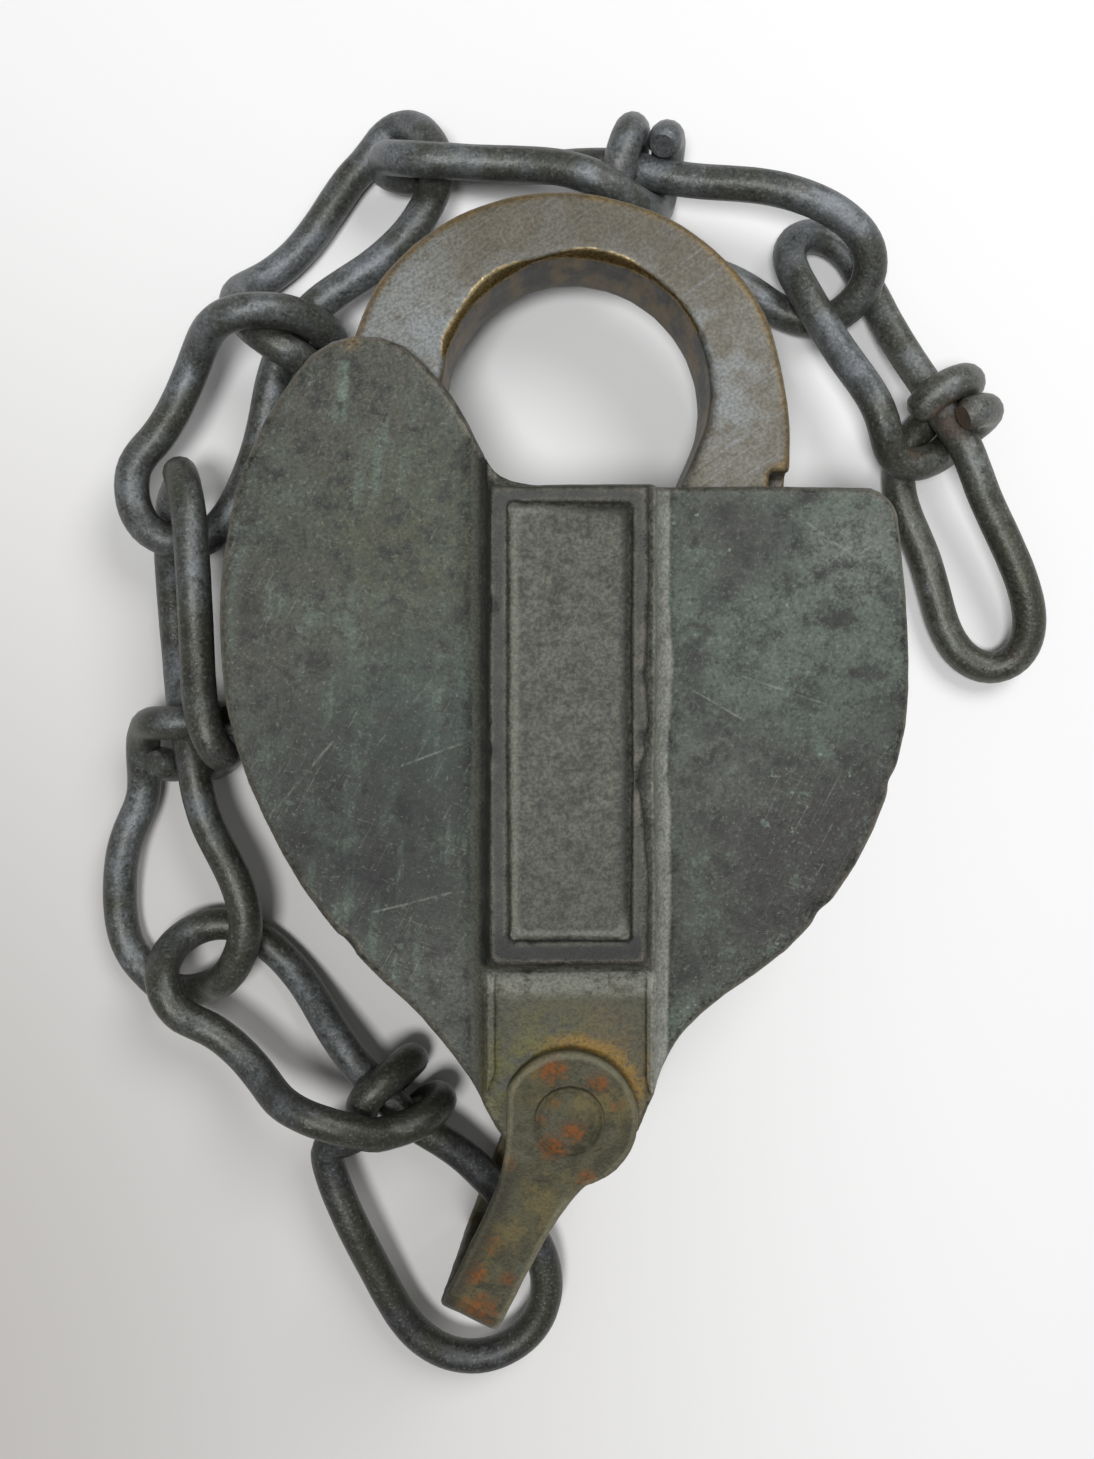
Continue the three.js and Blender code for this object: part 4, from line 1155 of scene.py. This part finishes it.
# in rings: how many are drawn in from each end, over how many this fades, how many are neighbours of one
# ring, how far the waist reaches, and how many are cut off each end
WINDING, FADE, NEIGHBOURS, WAIST, CUT_OFF = 14, 8, 4, 3, 2
TIGHTEN_STEPS, PUSH_STEPS = 150, 4
# the share of each move that one step makes, and the least of it away from the knot
PULL, SMOOTHING, PUSH = 0.08, 0.3, 0.3
LEAST_SMOOTHING, LEAST_PUSH = 0.2, 0.15


def towards_waist(wire, middle, axis):
    """The move that takes each ring of a winding onto the waist."""
    along = ((wire - middle) @ axis)[:, None]
    out = wire - middle - along * axis
    radius = np.linalg.norm(out, axis=1)[:, None]
    inward = out / np.maximum(radius, LEAST_LENGTH) * np.minimum(TURN_RADIUS - radius, 0)
    return inward + axis * (np.clip(along, -HALF_KNOT, HALF_KNOT) - along)


def away_from_bumps(wire):
    """The move that makes the wire bend evenly."""
    bend = np.zeros_like(wire)
    bend[1:-1] = (wire[:-2] + wire[2:]) / 2 - wire[1:-1]
    bump = np.zeros_like(wire)
    bump[2:-2] = bend[2:-2] - (bend[1:-3] + bend[3:-1]) / 2
    return bump


def apart(wire, neighbour):
    """The move that parts strands which are closer than one wire."""
    between = wire[:, None] - wire
    away = np.linalg.norm(between, axis=2)
    away[neighbour] = WIRE_TOUCH
    push = np.clip(WIRE_TOUCH - away, 0, None) / np.maximum(away, LEAST_LENGTH) * PUSH
    return (between * push[:, :, None]).sum(axis=1)


def in_mm(path):
    return np.array([tuple(point / MM) for point in path])


def tighten(path, passing):
    """Draw the windings at both ends of a wire onto its waist, but hold it where other links pass."""
    start = in_mm(path)
    nearest = np.linalg.norm(start[:, None] - in_mm(passing), axis=2).min(axis=1)
    free = np.clip((nearest - HELD) / (FREE - HELD), 0, 1)[:, None]
    wire, ring = start.copy(), np.arange(len(start))
    drawn = np.clip((WINDING - np.minimum(ring, ring[::-1])) / FADE, 0, 1)[:, None]
    smoothed = np.maximum(drawn, LEAST_SMOOTHING) * SMOOTHING
    pushed = LEAST_PUSH + (1 - LEAST_PUSH) * drawn
    neighbour = np.abs(ring[:, None] - ring) < NEIGHBOURS
    middle = len(start) // 2
    axis = start[middle + WAIST] - start[middle - WAIST]
    axis /= np.linalg.norm(axis)
    for _ in range(TIGHTEN_STEPS):
        pull = towards_waist(wire, start[middle], axis) * drawn * PULL
        wire = wire + pull + away_from_bumps(wire) * smoothed
        for _ in range(PUSH_STEPS):
            wire = wire + apart(wire, neighbour) * pushed
        wire = start + np.clip(wire - start, -LONGEST_MOVE, LONGEST_MOVE) * free
        wire[:, 2] = np.maximum(wire[:, 2], LOWEST_Z)
    return [Vector(point * MM) for point in wire[CUT_OFF:-CUT_OFF]]


wire_paths = {}
for number in drawn_paths:
    passing = [point for other in (number - 1, number + 1) for point in drawn_paths.get(other, [])]
    path = wire_paths[number] = tighten(drawn_paths[number], passing)
    length = sum((b - a).length for a, b in zip(path, path[1:]))
    print(f"link {number}: {len(path)} rings, {length / MM:.0f} mm of wire")

# %% [markdown]
# The wire's material starts from grey zinc. Old zinc grows a chalky bloom, thickest on top where the air
# reaches it, and the pale tops also carry a painted sheen where the light falls on them. The links near the
# clevis have lost most of their coat and are nearly black, those at the crown are pale, and the last link is
# warmer and has rust on its knot.

# %% Zinc wire
ZINC_PALE = srgb(98, 101, 102)
ZINC_WARM = srgb(84, 85, 76)
ZINC_MID = srgb(78, 80, 76)
ZINC_OLIVE = srgb(66, 67, 56)
ZINC_BLACK = srgb(38, 38, 35)
ZINC_BLOOM_AND_SHEEN = srgb(148, 154, 162)
WIRE_RUST = srgb(96, 66, 44)
# where the pale crown, the warm last link and the worn links near the clevis begin and are full
CROWN, LAST_LINK, WORN_LINKS = (24 * MM, 40 * MM), (33 * MM, 40 * MM), (-26 * MM, -52 * MM)
# centre and reach in millimetres, strength
WIRE_RUST_SPOTS = (
    ((42.6, 32.6, 10), 3.6, 1.0),
    ((39.5, 30.0, 9), 2.4, 0.7),
    ((5.0, 59.5, 10), 2.6, 0.5),
    ((-16.0, -45.0, 9), 2.5, 0.5),
)


def zinc_material():
    shader = Shader("zinc wire")
    x, y = shader.axis("X"), shader.axis("Y")
    clouds = shader.noise(85, 5.0, 0.6)
    mottle = shader.noise(380, 8.0, 0.76)
    fine = shader.noise(1400, 4.0, 0.65)
    grain = shader.noise(2800, 3.0, 0.65)
    upward = shader.node("SeparateXYZ", shader.node("NewGeometry", output="Normal"), output="Z")

    ground = shader.mix(ZINC_MID, ZINC_PALE, y.smooth(*CROWN) * 0.85)
    ground = shader.mix(ground, ZINC_WARM, x.smooth(*LAST_LINK))
    worn = y.smooth(*WORN_LINKS)
    ground = shader.mix(ground, ZINC_BLACK, worn * 0.85)
    color = shader.mix(ground, ZINC_OLIVE, clouds.smooth(0.56, 0.42) * 0.7)
    color = shader.mix(color, ZINC_BLACK, mottle.smooth(0.5, 0.36) * 0.5)
    # bloom on the upward faces, partly a painted sheen where the light falls on the tops
    bloom = clouds.smooth(0.42, 0.64) * (0.2 + mottle.smooth(0.44, 0.62) * 0.8) * upward.smooth(0.3, 1.0)
    color = shader.mix(color, ZINC_BLOOM_AND_SHEEN, bloom * (0.5 - worn * 0.3))
    color = shader.mix(color, ZINC_BLOOM_AND_SHEEN, grain.smooth(0.58, 0.7) * 0.25)
    color = shader.mix(color, ZINC_BLACK, fine.smooth(0.42, 0.32) * 0.5)
    bare = shader.noise(240, 5.0, 0.7, distortion=1.0).smooth(0.65, 0.72) * 0.45
    for centre, reach, strength in WIRE_RUST_SPOTS:
        bare = bare.math("MAXIMUM", shader.near(centre, reach) * strength * mottle.smooth(0.36, 0.52))
    color = shader.speckled(shader.mix(color, WIRE_RUST, bare), grain, 0.2)

    roughness = 0.38 + (grain - 0.5) * 0.2 + bloom * 0.2 + bare * 0.25
    height = grain * 0.3 + fine * 0.7 + mottle * 1.2
    return shader.finish(color, roughness, 0.35 - bare * 0.3, shader.bump(height, 0.06 * MM))


ZINC = zinc_material()
print("zinc is mixed from", len(ZINC.node_tree.nodes), "nodes")

# %% [markdown]
# Geometry Nodes turn a path into wire, because the same rule makes all five links: a smooth curve through
# the rings' middles, a round profile swept along it, cut ends that taper a little, and a slight unevenness
# that presses the skin in. The tree's inputs are the wire's sizes, so another chain needs no new tree.

# %% Wire tree
PROFILE_SIDES = 16
TAPER_LENGTH, TAPERED_END = 0.7 * MM, 0.72
BLOBS_PER_METRE = 260.0
INPUTS = {
    "Path": "NodeSocketGeometry",
    "Wire Radius": "NodeSocketFloat",
    "Step": "NodeSocketFloat",
    "Unevenness": "NodeSocketFloat",
    "Material": "NodeSocketMaterial",
}


def add_node(tree, kind, output=0, settings=None, **links):
    """One node and its links; _ in a socket's name is a space, and i0 or i1 is a socket by its number."""
    made = tree.nodes.new(kind)
    for key, value in (settings or {}).items():
        setattr(made, key, value)
    for key, value in links.items():
        name = key.replace("_", " ")
        socket = made.inputs[name if name in made.inputs else int(key[1:])]
        if isinstance(value, bpy.types.NodeSocket):
            tree.links.new(value, socket)
        else:
            socket.default_value = value
    return made.outputs[output]


def knotted_wire_tree():
    """A Geometry Nodes tree that sweeps a round wire along a path of edges."""
    tree = bpy.data.node_groups.new("knotted wire", "GeometryNodeTree")
    for name, kind in INPUTS.items():
        tree.interface.new_socket(name, in_out="INPUT", socket_type=kind)
    tree.interface.new_socket("Wire", in_out="OUTPUT", socket_type="NodeSocketGeometry")
    given = tree.nodes.new("NodeGroupInput").outputs

    def add(kind, *output, **links):
        return add_node(tree, kind, *output, **links)

    def sums(operation, first, second):
        return add("ShaderNodeMath", settings={"operation": operation}, i0=first, i1=second)

    curve = add("GeometryNodeMeshToCurve", Mesh=given["Path"])
    curve = add("GeometryNodeCurveSplineType", settings={"spline_type": "CATMULL_ROM"}, Curve=curve)
    curve = add("GeometryNodeResampleCurve", settings={"mode": "LENGTH"}, Curve=curve, Length=given["Step"])
    total = add("GeometryNodeCurveLength", Curve=curve)
    along = add("GeometryNodeSplineParameter", "Length")
    to_end = sums("MINIMUM", along, sums("SUBTRACT", total, along))
    taper = add(
        "ShaderNodeMapRange", Value=to_end,
        From_Min=0.0, From_Max=TAPER_LENGTH, To_Min=TAPERED_END, To_Max=1.0,
    )
    profile = add("GeometryNodeCurvePrimitiveCircle", Resolution=PROFILE_SIDES, Radius=given["Wire Radius"])
    wire = add("GeometryNodeCurveToMesh", Curve=curve, Profile_Curve=profile, Scale=taper, Fill_Caps=True)
    blobs = add("ShaderNodeTexNoise", Scale=BLOBS_PER_METRE, Detail=3.0)
    depth = sums("MULTIPLY", blobs, given["Unevenness"])
    outward = add("GeometryNodeInputNormal")
    inward = add("ShaderNodeVectorMath", settings={"operation": "SCALE"}, Vector=outward, Scale=depth)
    wire = add("GeometryNodeSetPosition", Geometry=wire, Offset=inward)
    wire = add("GeometryNodeSetShadeSmooth", i0=wire)
    wire = add("GeometryNodeRealizeInstances", Geometry=wire)
    wire = add("GeometryNodeSetMaterial", Geometry=wire, Material=given["Material"])
    tree.links.new(wire, tree.nodes.new("NodeGroupOutput").inputs["Wire"])
    return tree


WIRE_TREE = knotted_wire_tree()
print("wire tree has", len(WIRE_TREE.nodes), "nodes")

# %% [markdown]
# A link is made by giving its path to the tree. A modifier's inputs are set by their identifiers, before the
# object is first evaluated. The result is kept as a plain mesh and the modifier is removed, because the
# frame and the export want finished meshes.

# %% Links
WIRE_SIZES = {"Wire Radius": 1.94 * MM, "Step": 0.8 * MM, "Unevenness": -0.12 * MM, "Material": ZINC}


def bend_wire(name, path):
    """Run the tree on one path and keep the result as a plain mesh."""
    mesh = bpy.data.meshes.new(name)
    mesh.from_pydata(path, [(i, i + 1) for i in range(len(path) - 1)], [])
    wire = bpy.data.objects.new(name, mesh)
    bpy.context.scene.collection.objects.link(wire)
    bend = wire.modifiers.new("bend", "NODES")
    bend.node_group = WIRE_TREE
    for item in WIRE_TREE.interface.items_tree:
        if item.name in WIRE_SIZES:
            bend[item.identifier] = WIRE_SIZES[item.name]
    return applied(wire)


for number, path in wire_paths.items():
    link = bend_wire(f"wire_link_{number}", path)
    put_in_place(link, ZINC, f"link_{number}", "zinc_wire", f"chain_link_{number}")
